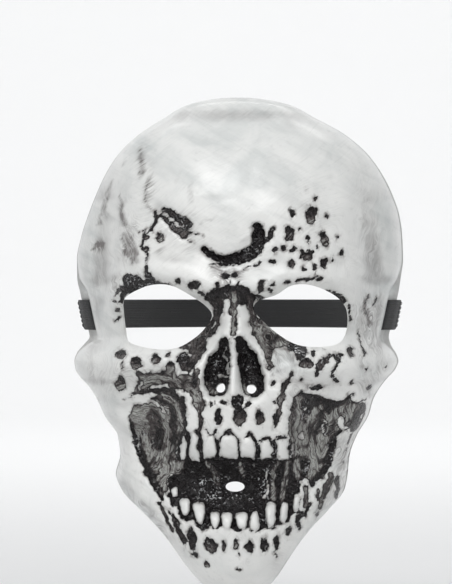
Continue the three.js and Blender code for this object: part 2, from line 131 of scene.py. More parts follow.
# Ridges and creases of the plain form: width, rise and points, in shares.
FOLDS = table(
    ("width", "rise", "line"),
    [
        (0.036, 0.05, [(-0.34, 0.03), (-0.303, 0.072), (-0.23, 0.082), (-0.152, 0.072), (-0.079, 0.056)]),
        (0.036, 0.05, [(0.079, 0.052), (0.152, 0.068), (0.23, 0.076), (0.297, 0.064), (0.345, 0.024)]),
        (0.036, 0.04, [(0.0, 0.036), (0.0, -0.03)]),
        (0.024, 0.02, [
            (-0.027, -0.036), (-0.064, -0.068), (-0.091, -0.1), (-0.109, -0.136), (-0.076, -0.16),
        ]),
        (0.024, 0.02, [(0.027, -0.036), (0.058, -0.064), (0.085, -0.1), (0.103, -0.136), (0.073, -0.16)]),
        (0.018, 0.045, [(-0.003, -0.05), (-0.003, -0.15)]),
        (0.05, 0.05, [(-0.206, -0.08), (-0.303, -0.092), (-0.388, -0.098), (-0.473, -0.096)]),
        (0.05, 0.05, [(0.218, -0.096), (0.315, -0.104), (0.4, -0.1), (0.473, -0.088)]),
        (0.036, 0.03, [
            (-0.382, -0.176), (-0.333, -0.24), (-0.321, -0.304), (-0.279, -0.36), (-0.218, -0.404),
        ]),
        (0.036, 0.03, [
            (0.376, -0.176), (0.339, -0.232), (0.309, -0.288), (0.291, -0.336), (0.242, -0.38),
        ]),
        (0.03, -0.03, [(-0.085, 0.12), (-0.024, 0.108), (0.036, 0.116), (0.073, 0.156)]),
        (0.03, -0.025, [(-0.218, 0.204), (-0.176, 0.18), (-0.133, 0.16)]),
        (0.024, 0.03, [(-0.152, -0.17), (-0.152, -0.224)]),
        (0.024, 0.03, [(0.145, -0.144), (0.152, -0.224)]),
        (0.021, 0.03, [(-0.315, -0.058), (-0.242, -0.074), (-0.164, -0.078)]),
        (0.021, 0.03, [(0.315, -0.056), (0.255, -0.068), (0.182, -0.07)]),
    ],
)

# Teeth: place of the middle, width, top and bottom, lean in degrees, how far they stand out, grey,
# and by what share they are narrower at the bottom and wider at the top.
TEETH = table(
    ("x", "width", "top", "bottom", "lean", "rise", "grey", "taper"),
    [
        (-28.5, 2.0, -60.5, -68.0, 4, 0.8, 0.75, 0.0),
        (-24.5, 2.4, -59.5, -69.4, 2, 1.4, 0.05, 0.0),
        (-20.1, 3.4, -58.0, -69.4, 2, 2.0, 0.0, -0.3),
        (-12.2, 6.0, -57.6, -68.6, -2, 2.4, 0.0, -0.06),
        (-2.9, 8.4, -57.6, -68.9, 0, 2.6, 0.0, -0.05),
        (6.1, 6.6, -59.0, -68.6, 2, 2.5, 0.0, -0.1),
        (14.9, 4.9, -60.2, -68.8, 0, 2.2, 0.0, -0.08),
        (23.1, 4.4, -59.6, -69.9, 4, 1.8, 0.05, 0.1),
        (27.9, 2.6, -59.6, -68.8, 0, 1.2, 0.45, 0.0),
        (-29.0, 3.6, -82.5, -87.4, -6, 1.0, 0.1, 0.1),
        (-24.0, 4.5, -88.0, -96.3, -4, 1.8, 0.0, 0.35),
        (-17.0, 5.2, -90.0, -100.5, -6, 2.2, 0.0, 0.4),
        (-9.6, 4.6, -94.2, -102.0, -4, 2.0, 0.05, 0.3),
        (-4.0, 5.0, -94.9, -102.9, 0, 2.2, 0.0, 0.35),
        (3.2, 5.7, -94.8, -102.4, -2, 2.2, 0.0, 0.25),
        (9.4, 4.6, -94.2, -103.2, 2, 2.2, 0.0, -0.35),
        (17.2, 5.0, -89.8, -101.7, 0, 2.4, 0.0, 0.12),
        (23.4, 3.9, -89.9, -99.7, 9, 2.0, 0.0, 0.1),
        (29.3, 2.9, -85.8, -94.8, 6, 1.6, 0.0, 0.15),
    ],
)

# Small dents that hold the black wash: middle, width, height, lean, depth, and tone, which is 1 where the
# wash is solid black and less where it is rubbed to grey inside its dark border. Inside a pit that grey is
# painted darker along the top, as painted shade under the upper edge, and lighter along the bottom, as
# painted light.
PITS = table(
    ("x", "z", "width", "height", "lean", "depth", "tone"),
    [
        (38.5, 56.0, 2.4, 3.2, 0, 0.6, 0.7),
        (27.5, 48.5, 2.8, 4.6, 0, 0.8, 1.0),
        (36.5, 47.5, 5.6, 9.6, 6, 1.2, 0.55),
        (44.0, 47.5, 2.0, 3.2, 0, 0.6, 0.9),
        (26.2, 38.8, 5.4, 7.4, 0, 1.2, 0.6),
        (30.5, 41.0, 1.4, 1.4, 0, 0.3, 1.0),
        (35.0, 37.2, 2.5, 3.2, 0, 0.7, 0.8),
        (42.8, 36.2, 3.8, 9.6, -18, 1.0, 0.3),
        (49.3, 37.0, 2.0, 3.2, 0, 0.6, 0.9),
        (19.0, 31.4, 2.7, 3.2, 0, 0.7, 1.0),
        (23.3, 31.8, 2.8, 3.2, 0, 0.7, 1.0),
        (28.0, 31.8, 2.7, 2.5, 0, 0.7, 1.0),
        (32.2, 30.3, 3.0, 2.8, 0, 0.6, 1.0),
        (36.8, 30.4, 2.6, 3.0, 0, 0.6, 1.0),
        (34.6, 28.0, 6.4, 4.4, 0, 1.0, 0.5),
        (51.2, 29.8, 2.5, 3.6, 0, 0.8, 1.0),
        (18.0, 25.6, 4.8, 2.6, -6, 0.8, 1.0),
        (27.2, 24.7, 3.2, 5.0, -20, 0.8, 0.5),
        (33.0, 22.3, 2.5, 3.0, -15, 0.7, 0.9),
        (38.0, 22.8, 2.2, 4.0, -20, 0.7, 0.8),
        (42.6, 24.8, 3.8, 5.0, 10, 1.0, 0.75),
        (47.0, 26.3, 1.8, 2.7, 0, 0.6, 0.8),
        (39.5, 32.6, 1.5, 2.0, 0, 0.4, 0.8),
        (-27.0, 16.5, 3.0, 2.6, 0, 0.8, 1.0),
        (-20.0, 14.2, 6.8, 4.8, -10, 1.2, 0.85),
        (-16.6, 10.6, 3.0, 2.0, 30, 0.7, 1.0),
        (-13.6, 9.2, 3.0, 1.8, 10, 0.6, 1.0),
        (-8.6, 14.4, 2.4, 3.0, 0, 0.5, 0.9),
        (12.4, 13.5, 3.8, 6.0, 24, 1.1, 0.85),
        (-4.6, 18.6, 3.8, 3.0, -10, 0.6, 0.95),
        (-0.2, 19.2, 3.6, 2.6, 10, 0.6, 1.0),
        (-2.4, 16.0, 1.2, 2.4, 0, 0.4, 1.0),
        (1.6, 15.6, 1.4, 2.6, 0, 0.4, 1.0),
        (-29.4, -90.2, 4.0, 5.4, -30, 1.0, 0.9),
        (17.6, 15.0, 2.4, 2.2, 0, 0.7, 1.0),
        (17.4, 11.9, 2.8, 2.5, 0, 0.7, 1.0),
        (25.2, 16.0, 2.5, 2.2, 0, 0.7, 1.0),
        (40.6, 17.0, 4.6, 2.2, -32, 0.8, 0.9),
        (-36.0, 37.0, 4.4, 6.0, -10, 0.8, 0.2),
        (-42.4, 37.2, 2.6, 2.6, 0, 0.5, 0.2),
        (-42.2, 31.6, 3.0, 3.4, 0, 0.5, 0.2),
        (-55.1, -19.1, 5.6, 4.6, 0, 0.9, 0.15),
        (-54.9, -33.3, 5.2, 8.6, 5, 1.0, 0.1),
        (-47.5, -23.5, 6.0, 6.6, 0, 1.1, 0.35),
        (-38.1, -21.5, 4.6, 5.8, 0, 1.2, 0.5),
        (-31.9, -19.0, 2.6, 3.1, 0, 0.7, 0.6),
        (-24.9, -21.2, 6.6, 6.2, 0, 1.0, 0.9),
        (-31.1, -24.6, 5.2, 4.2, 0, 1.0, 0.5),
        (-22.2, -27.6, 1.8, 2.4, 0, 0.5, 1.0),
        (-34.8, -27.5, 1.8, 2.6, 20, 0.5, 1.0),
        (37.7, -18.4, 3.0, 4.0, 0, 0.9, 0.95),
        (34.3, -23.3, 6.4, 5.2, 6, 1.1, 0.5),
        (42.9, -17.0, 1.3, 1.1, 0, 0.3, 0.5),
        (55.2, -17.6, 3.6, 5.2, -8, 0.8, 0.3),
        (32.5, -30.7, 1.6, 2.2, 8, 0.5, 0.9),
        (39.0, -34.8, 7.6, 2.4, 2, 1.0, 1.0),
        (56.0, -32.4, 2.0, 2.8, 20, 0.4, 0.6),
        (63.4, -26.0, 1.2, 3.0, -60, 0.3, 0.5),
        (72.5, -25.3, 1.7, 3.4, 10, 0.3, 0.5),
        (64.6, -34.8, 2.6, 3.6, 30, 0.4, 0.6),
        (57.0, -37.8, 1.8, 1.2, 20, 0.3, 1.0),
        (18.1, -33.1, 2.1, 4.0, 0, 0.7, 0.5),
        (23.0, -34.3, 2.2, 4.8, 0, 0.7, 0.8),
        (18.9, -41.9, 1.6, 2.0, 0, 0.3, 0.4),
        (0.9, -41.6, 6.6, 6.4, 0, 1.3, 1.0),
        (2.2, -48.8, 6.4, 10.6, 0, 1.6, 0.65),
        (-8.0, -49.0, 3.8, 8.8, 4, 1.2, 0.9),
        (-5.6, -41.9, 3.2, 2.0, 0, 0.7, 1.0),
        (-11.6, -43.2, 1.3, 2.4, 0, 0.4, 1.0),
        (-9.3, -41.8, 1.0, 1.5, 0, 0.3, 0.6),
        (6.5, -42.9, 3.4, 3.4, 0, 0.8, 1.0),
        (12.0, -49.4, 4.0, 8.4, -6, 1.1, 0.7),
        (19.6, -50.6, 2.8, 7.4, 6, 0.8, 0.8),
        (-9.6, -56.4, 2.4, 2.6, 0, 0.5, 0.9),
        (-29.6, -79.2, 3.4, 4.2, 0, 0.9, 1.0),
        (34.4, -72.6, 3.4, 7.8, 4, 1.2, 1.0),
        (30.5, -75.3, 1.8, 3.6, 0, 0.8, 1.0),
        (22.3, -58.6, 4.4, 2.0, -6, 0.6, 1.0),
        (50.3, -48.5, 2.2, 3.6, -20, 0.5, 0.6),
        (47.2, -52.8, 1.5, 2.2, 0, 0.4, 0.9),
        (36.8, -66.0, 1.2, 1.8, 0, 0.4, 1.0),
        (39.5, -96.1, 1.1, 2.6, 8, 0.3, 0.6),
        (-20.6, -107.6, 3.8, 11.4, -10, 1.2, 0.85),
        (-19.8, -114.8, 4.0, 2.8, 30, 0.6, 0.8),
        (-11.6, -110.8, 5.4, 8.4, -22, 1.3, 0.6),
        (-5.4, -111.4, 2.2, 5.4, 0, 0.8, 0.65),
        (0.2, -110.7, 2.6, 6.4, 0, 0.8, 0.25),
        (1.9, -115.2, 1.9, 2.6, -10, 0.5, 0.9),
        (7.0, -111.6, 3.8, 6.4, -12, 1.0, 0.75),
        (13.9, -110.6, 4.0, 7.4, 6, 1.2, 0.95),
        (19.8, -109.4, 3.0, 8.0, 6, 1.1, 0.95),
        (20.2, -115.4, 1.4, 2.4, 0, 0.3, 0.3),
        (25.7, -103.9, 2.9, 5.8, 14, 0.9, 0.95),
        (-13.5, -119.7, 3.4, 3.2, 0, 0.5, 0.25),
        (1.8, -122.2, 2.6, 2.4, 0, 0.2, 0.1),
        (-24.5, -111.4, 0.9, 2.0, 0, 0.3, 0.5),
    ],
)

# Cracks, grooves and brushed strokes of the wash: points, width at the start and at the end,
# depth and tone as above.
STROKES = table(
    ("line", "start", "end", "depth", "tone"),
    [
        ([(-34, 51), (-30, 48.5), (-26, 45.5), (-22.5, 43.5)], 2.2, 4.4, 1.0, 0.85),
        ([(-36, 48), (-32, 44.5), (-28, 40.5), (-24.5, 39)], 1.2, 4.6, 1.0, 0.75),
        ([(-24, 40.5), (-19.5, 38.6), (-15.5, 38)], 1.8, 0.5, 0.4, 0.7),
        ([(-27, 39), (-22.5, 36), (-20, 35)], 1.6, 0.4, 0.3, 0.7),
        ([(-38.5, 50), (-38.2, 46), (-38.6, 43)], 1.6, 1.4, 0.5, 0.9),
        ([(-38.6, 43), (-40.6, 40.2), (-43.2, 38.6), (-44.6, 36), (-45, 33.6)], 1.3, 1.2, 0.5, 0.95),
        ([
            (-45, 33.6), (-43.4, 31), (-42, 28.6), (-42.4, 26), (-43.2, 23), (-42.2, 19),
        ], 1.2, 1.6, 0.5, 0.95),
        ([(-45.5, 40), (-43, 41.4), (-40, 40.4)], 0.9, 1.1, 0.3, 0.9),
        ([
            (-14.5, 31), (-10, 28), (-5, 26.3), (0, 27.4), (5, 29), (9.5, 32), (11.4, 36), (10.6, 41),
        ], 3.2, 6.4, 2.2, 1.0),
        ([
            (-12, 24.5), (-6, 24.2), (0, 24), (6, 26), (11.5, 30.5), (14, 35), (17.4, 38.6),
        ], 1.0, 3.0, 1.2, 1.0),
        ([(17.4, 38.6), (18.4, 41.6)], 3.0, 2.2, 0.8, 0.9),
        ([(12.5, 25.5), (9, 23.5), (4, 22)], 1.2, 0.5, 0.4, 0.5),
        ([(7, 9.8), (10, 9.2), (14.2, 7.4)], 2.2, 1.8, 0.7, 1.0),
        ([(-27, -65), (-26.8, -70)], 1.6, 1.8, 0.8, 1.0),
        ([(-13.5, 8.6), (-9.5, 11.2), (-5, 12.4), (0.5, 12.8), (5, 11.8), (9, 8.4)], 2.4, 3.6, 1.3, 1.0),
        ([(-0.4, 10), (-0.4, 0), (-0.8, -9)], 4.6, 2.2, 1.0, 0.35),
        ([(1.2, 8), (1.1, 0), (0.2, -9)], 0.9, 0.7, 0.3, 1.0),
        ([(-6.4, 9), (-7.6, 2), (-8.6, -5), (-12, -10)], 3.0, 1.8, 0.7, 0.8),
        ([(6.8, 9), (8, 3), (8.6, -3), (10.4, -9), (13, -16)], 3.6, 1.4, 0.7, 0.6),
        ([(-2.9, -11.6), (-1.4, -11.4), (-0.1, -11.8)], 0.9, 0.9, 0.4, 1.0),
        ([(-53.5, 13), (-56, 12), (-58, 9.5)], 3.0, 0.8, 0.4, 0.8),
        ([(-53.5, 6.5), (-56.5, 6), (-59, 7)], 2.4, 0.6, 0.4, 0.9),
        ([(-55.6, 2.6), (-57.8, 1.6)], 2.0, 0.8, 0.3, 0.9),
        ([(-55.8, -0.8), (-58, -2.6)], 1.8, 0.7, 0.3, 0.8),
        ([(29, 15.6), (33, 17.2), (38.5, 17.6)], 1.2, 1.6, 0.5, 1.0),
        ([(39, 21), (39.8, 18.6)], 0.9, 0.9, 0.3, 0.9),
        ([(35, 35.4), (35.4, 31)], 0.8, 0.7, 0.2, 0.5),
        ([(44.6, 12), (48.5, 9.6), (52, 6.8)], 1.4, 3.2, 0.5, 0.9),
        ([(54.6, 4.6), (55.2, 1.2), (54.8, -3)], 1.6, 0.8, 0.4, 0.9),
        ([(58.7, -7.1), (60.1, -13.2)], 0.4, 0.8, 0.3, 0.7),
        ([(60.1, -13.2), (61.2, -16.4), (62.1, -19.6)], 0.8, 1.5, 0.4, 0.9),
        ([(63.6, 10), (62, 4), (64, -3)], 0.9, 0.5, 0.3, 0.35),
        ([(68, 8.5), (66.5, 4.5)], 0.6, 1.2, 0.3, 0.35),
        ([(68.2, -12.2), (70.2, -14.2)], 0.6, 0.9, 0.2, 0.6),
        ([(47.9, -18.9), (48.8, -20.9), (49.6, -23.3), (47.9, -25.6)], 1.7, 1.2, 0.9, 0.95),
        ([(50.5, -19.2), (50, -22.6), (49.4, -24)], 1.6, 1.8, 0.8, 0.9),
        ([(47.9, -25.6), (46.8, -27.5), (46.6, -29.7), (47.9, -31), (49.6, -32)], 1.2, 2.4, 0.9, 0.9),
        ([(56.6, -18.4), (57.7, -19.6)], 1.0, 0.5, 0.3, 0.8),
        ([(65.8, -38.8), (62, -41), (58.7, -42.1)], 0.8, 0.9, 0.4, 0.85),
        ([(27.4, -28.4), (24.6, -33), (22.4, -38)], 1.4, 3.0, 0.8, 0.75),
        ([(22.4, -38), (21.4, -44), (21.4, -48)], 3.0, 2.0, 0.8, 0.6),
        ([
            (31, -37.6), (34.1, -38), (40.9, -39.6), (46.6, -42), (50.6, -42), (53, -40.8), (54.9, -38.9),
        ], 1.6, 2.0, 1.2, 1.0),
        ([(29.1, -39.5), (28.6, -44), (28, -49), (28, -56)], 2.6, 2.0, 0.8, 0.75),
        ([(39.8, -47.4), (37.5, -52.8), (35.4, -57.9), (34.8, -64.6)], 1.8, 1.6, 0.8, 0.95),
        ([(40.8, -47.1), (39.8, -54.9), (38.8, -57.9), (38.8, -62.3)], 2.2, 1.6, 0.8, 0.95),
        ([(40.8, -50.8), (42.8, -53.2), (44, -57.5)], 1.4, 1.6, 0.6, 0.95),
        ([
            (60.4, -55.6), (56.3, -57.9), (54.3, -62.9), (53.3, -68), (52.6, -74.7), (53, -79.8),
            (52, -86.5),
        ], 1.6, 1.7, 0.5, 0.6),
        ([(49.2, -78.4), (49.2, -82.5), (48.6, -87)], 2.8, 2.2, 0.8, 0.85),
        ([(46, -77.6), (43.6, -84), (40.4, -92.4)], 3.4, 2.4, 0.8, 0.6),
        ([(39.8, -83.4), (39.9, -88.8)], 1.5, 1.7, 0.5, 0.45),
        ([(33.8, -83), (34.2, -91)], 3.0, 2.8, 0.7, 0.4),
        ([(35.8, -90.6), (34.6, -93.6), (33, -96.2)], 1.4, 2.6, 0.8, 0.95),
        ([(31, -95.4), (30.6, -99), (30.4, -102)], 3.4, 1.8, 1.0, 0.95),
        ([(-49.8, -51.3), (-48.5, -56.8), (-46.6, -62.6)], 1.6, 3.0, 1.2, 1.0),
        ([(-46.6, -62.6), (-44.9, -67.4), (-42.8, -72.8), (-40.7, -76.6)], 3.0, 4.6, 1.4, 1.0),
        ([(-40.7, -76.6), (-38.6, -80.6), (-36.8, -84), (-34.8, -87.5)], 4.6, 2.8, 1.4, 1.0),
        ([(-36.8, -89.6), (-34.4, -94), (-32, -99), (-30.4, -103.4)], 1.6, 1.8, 0.8, 0.7),
        ([(-31.4, -94), (-29, -98), (-27, -103), (-24.6, -108)], 1.6, 3.6, 1.2, 0.85),
        ([(-38.5, -49), (-38, -56), (-36.5, -63)], 7.0, 5.0, 1.2, 0.75),
        ([(-30.5, -43), (-30, -51), (-29.6, -59.5)], 3.2, 3.4, 1.0, 0.9),
        ([(-25.4, -40), (-24.8, -47), (-24.6, -55)], 2.6, 2.8, 1.0, 0.9),
        ([(-41, -36.3), (-37.5, -35.8), (-32.5, -36.6)], 1.8, 3.8, 1.0, 0.9),
        ([
            (-32.5, -36.6), (-29.4, -37.8), (-27, -40.8), (-25.2, -43.8), (-24.2, -48), (-23.8, -53),
        ], 3.8, 1.8, 1.1, 0.9),
        ([
            (-40, -40.8), (-37, -40), (-34, -41), (-32, -42.6), (-30.4, -45.4), (-29.6, -48.5),
            (-29.4, -53),
        ], 1.4, 3.4, 1.0, 0.9),
        ([(-19.6, -29), (-19.4, -34)], 2.2, 2.0, 0.8, 1.0),
        ([(-54.4, -21), (-54, -27)], 1.2, 0.4, 0.3, 0.5),
        ([(-30, -26), (-29.8, -31.4)], 3.0, 3.0, 0.6, 0.35),
        ([(-46.2, -28.5), (-46, -33), (-46.4, -37.5)], 1.9, 1.7, 0.6, 0.8),
        ([(-45, -28.4), (-41, -28.2), (-36.7, -28.4)], 1.8, 1.6, 0.5, 0.75),
        ([(-49.6, -37.3), (-45, -37.4), (-41, -36.8)], 1.2, 1.5, 0.5, 0.9),
        ([(-53, -40.2), (-51, -39.6), (-49.3, -40)], 0.6, 1.0, 0.3, 0.7),
        ([(-20.3, -55.3), (-17.6, -57), (-15.8, -60)], 1.0, 1.6, 0.5, 1.0),
        ([(-27, -66), (-26.8, -60.5), (-24.8, -57), (-22.4, -60)], 1.2, 1.4, 0.7, 1.0),
        ([(-22.3, -55.6), (-22.3, -63), (-22.2, -70.4)], 1.6, 2.8, 0.9, 1.0),
        ([(-17.2, -57.6), (-16.8, -62), (-16.4, -66), (-15.6, -70)], 2.4, 2.6, 0.8, 1.0),
        ([(-14.4, -55), (-12, -57.6), (-9.4, -59.8), (-8.4, -61.5)], 1.0, 1.8, 0.7, 1.0),
        ([(-8.4, -60.5), (-8.3, -69)], 1.6, 2.2, 0.8, 1.0),
        ([
            (-8.2, -61.2), (-6.6, -59.2), (-5.2, -57.1), (-2.7, -56), (-0.1, -58), (1.5, -61),
            (2.1, -65.7),
        ], 1.4, 1.6, 0.7, 1.0),
        ([(2, -65), (2, -69)], 1.4, 1.8, 0.8, 1.0),
        ([(5.4, -58.6), (7.2, -57.4), (8.9, -58.8), (10.4, -61.5), (11.2, -64)], 1.5, 2.0, 0.7, 1.0),
        ([(11, -63), (11, -69.2)], 2.0, 3.4, 0.9, 1.0),
        ([(12.3, -61), (14.1, -58.9), (16.4, -59.6), (18, -62)], 1.3, 1.7, 0.7, 1.0),
        ([(19, -61), (19.1, -69.6)], 2.4, 3.4, 0.9, 1.0),
        ([(26, -59.5), (26, -67.5)], 0.9, 1.1, 0.5, 0.8),
        ([(25, -69.6), (28, -69.2), (31.3, -68.2), (34.3, -68.6)], 1.6, 1.4, 0.7, 1.0),
        ([(-10.6, -102.2), (-8.2, -102.6)], 1.4, 1.2, 0.5, 1.0),
        ([(0.6, -103.1), (3, -103.4)], 2.2, 1.6, 0.6, 1.0),
        ([(7.4, -103.4), (9.6, -104.2), (11.8, -103.2)], 1.0, 1.1, 0.4, 1.0),
        ([(15.4, -102), (17.2, -102.6), (19.6, -101.8)], 0.9, 0.9, 0.4, 0.6),
        ([(0.6, -37.2), (0.9, -40)], 0.8, 3.0, 0.8, 1.0),
    ],
)

# Larger stained hollows: how much deeper they are than the plain form, tone and outline.
PATCHES = table(
    ("name", "depth", "tone", "outline"),
    [
        ("left brow", 0.8, 0.92, [
            (-53.2, 11.7), (-53.7, 15.2), (-53.5, 18.1), (-51.4, 19.9), (-49.1, 18.7), (-46.8, 19.3),
            (-44.4, 17.5), (-43.6, 16.1), (-43, 18.4), (-43.3, 20.7), (-41.5, 21), (-39.5, 18.7),
            (-37.5, 16.9), (-34, 15.2), (-29.3, 14.3), (-34, 13.9), (-40.9, 13.5), (-46.8, 11.7),
            (-51.4, 9.4), (-54.9, 6.5), (-55.5, 9.4),
        ]),
        ("nose bridge", 0.8, 0.95, [
            (-13.2, 10.6), (-6.6, 11.7), (-1.1, 12.8), (4.9, 12.3), (8.8, 7.9), (9.1, 5.1), (7.7, 2.9),
            (6.6, 4.6), (3.3, 4.6), (1.6, 3.4), (0.5, 0.1), (-2.8, 0.1), (-2.8, 6.8), (-5.5, 7.3),
            (-6.6, 5.7), (-5.5, 1.2), (-7.7, -2.1), (-9.9, 1.2), (-11, 5.1), (-13.8, 6.8),
        ]),
        ("left inner socket", 0.7, 0.72, [
            (-14, 10.6), (-10, 10), (-7.6, 7), (-8, 0), (-11, -6), (-13.4, -14), (-16, -20), (-20, -25.6),
            (-25, -26.6), (-26.5, -22.6), (-21.6, -20.6), (-22.4, -17.4), (-27.6, -15.4), (-33, -15.6),
            (-27, -12), (-19, -7), (-11, -1), (-10.6, 3), (-13.5, 7),
        ]),
        ("right inner socket", 0.6, 0.3, [
            (9, 9.6), (9.4, 3), (11.6, -1), (16, -4), (22, -8.6), (27, -12.6), (26.4, -15.6), (22.4, -15),
            (18.8, -17), (17.6, -21), (17.8, -26), (16, -26.6), (13, -20), (9, -12), (7, -3), (7.6, 4),
        ]),
        ("right socket blotch", 0.7, 0.95, [
            (25, -12.6), (30, -14), (34.4, -14.6), (34.2, -19.2), (33.1, -20.6), (30.8, -21.6),
            (28.4, -18.2), (26, -17),
        ]),
        ("left nose hollow", 2.2, 0.95, [
            (-5.3, -10.4), (-7.5, -12.9), (-8.1, -15.9), (-10.5, -18.1), (-12.5, -20.8), (-13.9, -24.5),
            (-14.8, -28.2), (-14.8, -33.1), (-13.3, -36.4), (-11.2, -39), (-7.5, -39.2), (-5, -38),
            (-2.9, -33.4), (-2.6, -31.5), (-2.3, -29.1), (-2.1, -23), (-2.6, -17.1), (-2.9, -12.9),
            (-3.2, -11.8),
        ]),
        ("right nose hollow", 2.2, 0.95, [
            (0.2, -10.4), (2, -10.1), (4.5, -11.8), (6.6, -14.7), (9.4, -17.8), (10.9, -20.2),
            (12.1, -23.9), (13, -27.5), (14, -30.6), (14, -34.9), (12.4, -37.6), (9.4, -39.6),
            (6.6, -39.5), (4.4, -37.8), (3.1, -34), (2.6, -31.5), (2, -27.5), (1.4, -24.5), (0.9, -18.4),
            (0.2, -13.5),
        ]),
        ("mouth", 2.6, 1.0, [
            (-24, -70), (-17, -70), (-14, -68.6), (-8, -68.4), (2, -68.4), (11, -69.2), (14, -69.2),
            (17.5, -68.6), (21.3, -69.9), (24.4, -69), (28, -69.2), (33, -69), (35.6, -70), (35.6, -75.6),
            (33.6, -78), (32.4, -80), (30.9, -82), (31.2, -85.8), (31.4, -90), (29.9, -94.8),
            (27.6, -96.6), (25, -99.4), (22, -100.2), (19.8, -101), (15, -101.6), (11.6, -102.8),
            (7, -102.2), (1, -102.8), (-5.5, -102), (-9, -101.8), (-12, -101.6), (-15.2, -103.2),
            (-18.6, -101.3), (-20.3, -98.4), (-22.6, -99.8), (-25.7, -98), (-27.3, -94.6), (-27.6, -90),
            (-28.4, -88.4), (-31.6, -87.4), (-32.2, -83), (-31.6, -77.5), (-27, -76.4), (-25.4, -72),
        ]),
        ("left mouth fold", 1.2, 0.35, [
            (-38.6, -72), (-34, -69.4), (-29, -69), (-24, -69.6), (-22, -73), (-24, -78.6), (-28, -78),
            (-31.4, -76), (-33, -80), (-33.6, -86), (-36.6, -82), (-39, -76),
        ]),
        ("left cheek", 1.0, 0.42, [
            (-50.4, -46.4), (-48, -43.4), (-44, -42.4), (-40, -40.4), (-36.4, -38), (-33, -37),
            (-29.4, -37.8), (-26, -41), (-24, -46), (-23.2, -53), (-23.6, -57), (-25.8, -58.6),
            (-27.6, -63), (-28.6, -69), (-31.4, -75), (-33.4, -84), (-36.6, -81), (-40, -75), (-44, -67),
            (-46.6, -60), (-49.4, -52.6),
        ]),
        ("left cheek top", 0.6, 0.35, [
            (-47.4, -28), (-45, -27.2), (-36.7, -27.4), (-31.5, -26), (-28.5, -29.5), (-27, -33.5),
            (-28.4, -35.4), (-32.5, -34.4), (-38.6, -34), (-41.6, -35.4), (-44, -37.8), (-49.4, -38),
            (-48, -35), (-47, -31),
        ]),
        ("left nose side", 1.0, 0.45, [
            (-20.5, -24.7), (-19.6, -25.9), (-17.1, -26.2), (-17.3, -30.8), (-16.5, -35.4),
            (-15.6, -39.4), (-14.4, -41.5), (-14.4, -44.6), (-15.9, -47.7), (-14.7, -49.8),
            (-15.6, -52.8), (-16.6, -57), (-18.6, -57), (-17.5, -52.8), (-18.1, -47.7), (-19.3, -43.7),
            (-20.8, -40.9), (-23, -37.6), (-27.6, -34.2), (-28.2, -31.7), (-26.9, -29.3), (-23.3, -28.4),
            (-20.5, -29), (-20.2, -26.8),
        ]),
        ("right cheek", 1.1, 0.2, [
            (30.7, -37.3), (34.1, -37.4), (40.9, -38.6), (44.2, -40.1), (46.6, -40.8), (50.6, -41),
            (54, -40), (58, -42.4), (61.4, -42.2), (63.9, -43.4), (64, -48.5), (61.9, -51.2),
            (60.4, -54.9), (55.3, -56.2), (51.4, -55.4), (49.6, -57.2), (48.6, -62.9), (47.2, -67.3),
            (44.9, -75.1), (38.8, -80.8), (36.2, -82.4), (34.2, -78), (31, -77), (28, -72), (27, -68),
            (26, -57.5), (25.7, -54.5), (26, -49.5), (27, -45.4), (27.7, -41.7), (29.1, -39.4),
        ]),
        ("right cheek dark top", 0.9, 1.0, [
            (32.1, -38), (34.1, -37.5), (40.2, -38.4), (44.2, -40.6), (52.6, -41.4), (57.7, -42.4),
            (52.6, -43.6), (47.6, -45.4), (44.9, -49.5), (42.2, -48.8), (41.5, -46.1), (38.5, -46.1),
            (35.4, -49.5), (34.1, -51.8), (32.1, -51.8), (31.4, -47.8), (32.1, -42),
        ]),
        ("right jaw blister", 0.4, 0.95, [
            (61.4, -42.4), (63.7, -43.4), (64.2, -46.1), (63.6, -48.8), (61.7, -50.8), (60.4, -54.9),
            (55.3, -56.2), (54, -51.8), (56.3, -48.8), (57.7, -44.8),
        ]),
        ("right jaw groove", 1.6, 1.0, [
            (48.9, -54.9), (51.3, -55.5), (49.6, -57.2), (48.9, -58.9), (48.6, -62.9), (47.4, -65),
            (47.2, -67.3), (45.9, -71.4), (44.9, -75.1), (42.2, -77.8), (38.8, -80.8), (36.6, -82.5),
            (35.4, -80.1), (38.5, -76.4), (41.5, -72.4), (42.9, -67.3), (43.9, -64.6), (43.9, -61.6),
            (45.5, -58.6), (47.2, -56.9),
        ]),
        ("right slanted pit", 1.0, 0.75, [
            (43.9, -18.6), (45.6, -17.7), (46.8, -18.9), (46.3, -19.9), (45.1, -20.6), (44.9, -22.9),
            (43.2, -24.6), (42.2, -26), (40.9, -27.3), (39.9, -29.3), (38.9, -29.7), (38.5, -28),
            (38.4, -24.3), (38.9, -22.9), (41.2, -20.9), (43.6, -20.2),
        ]),
    ],
)
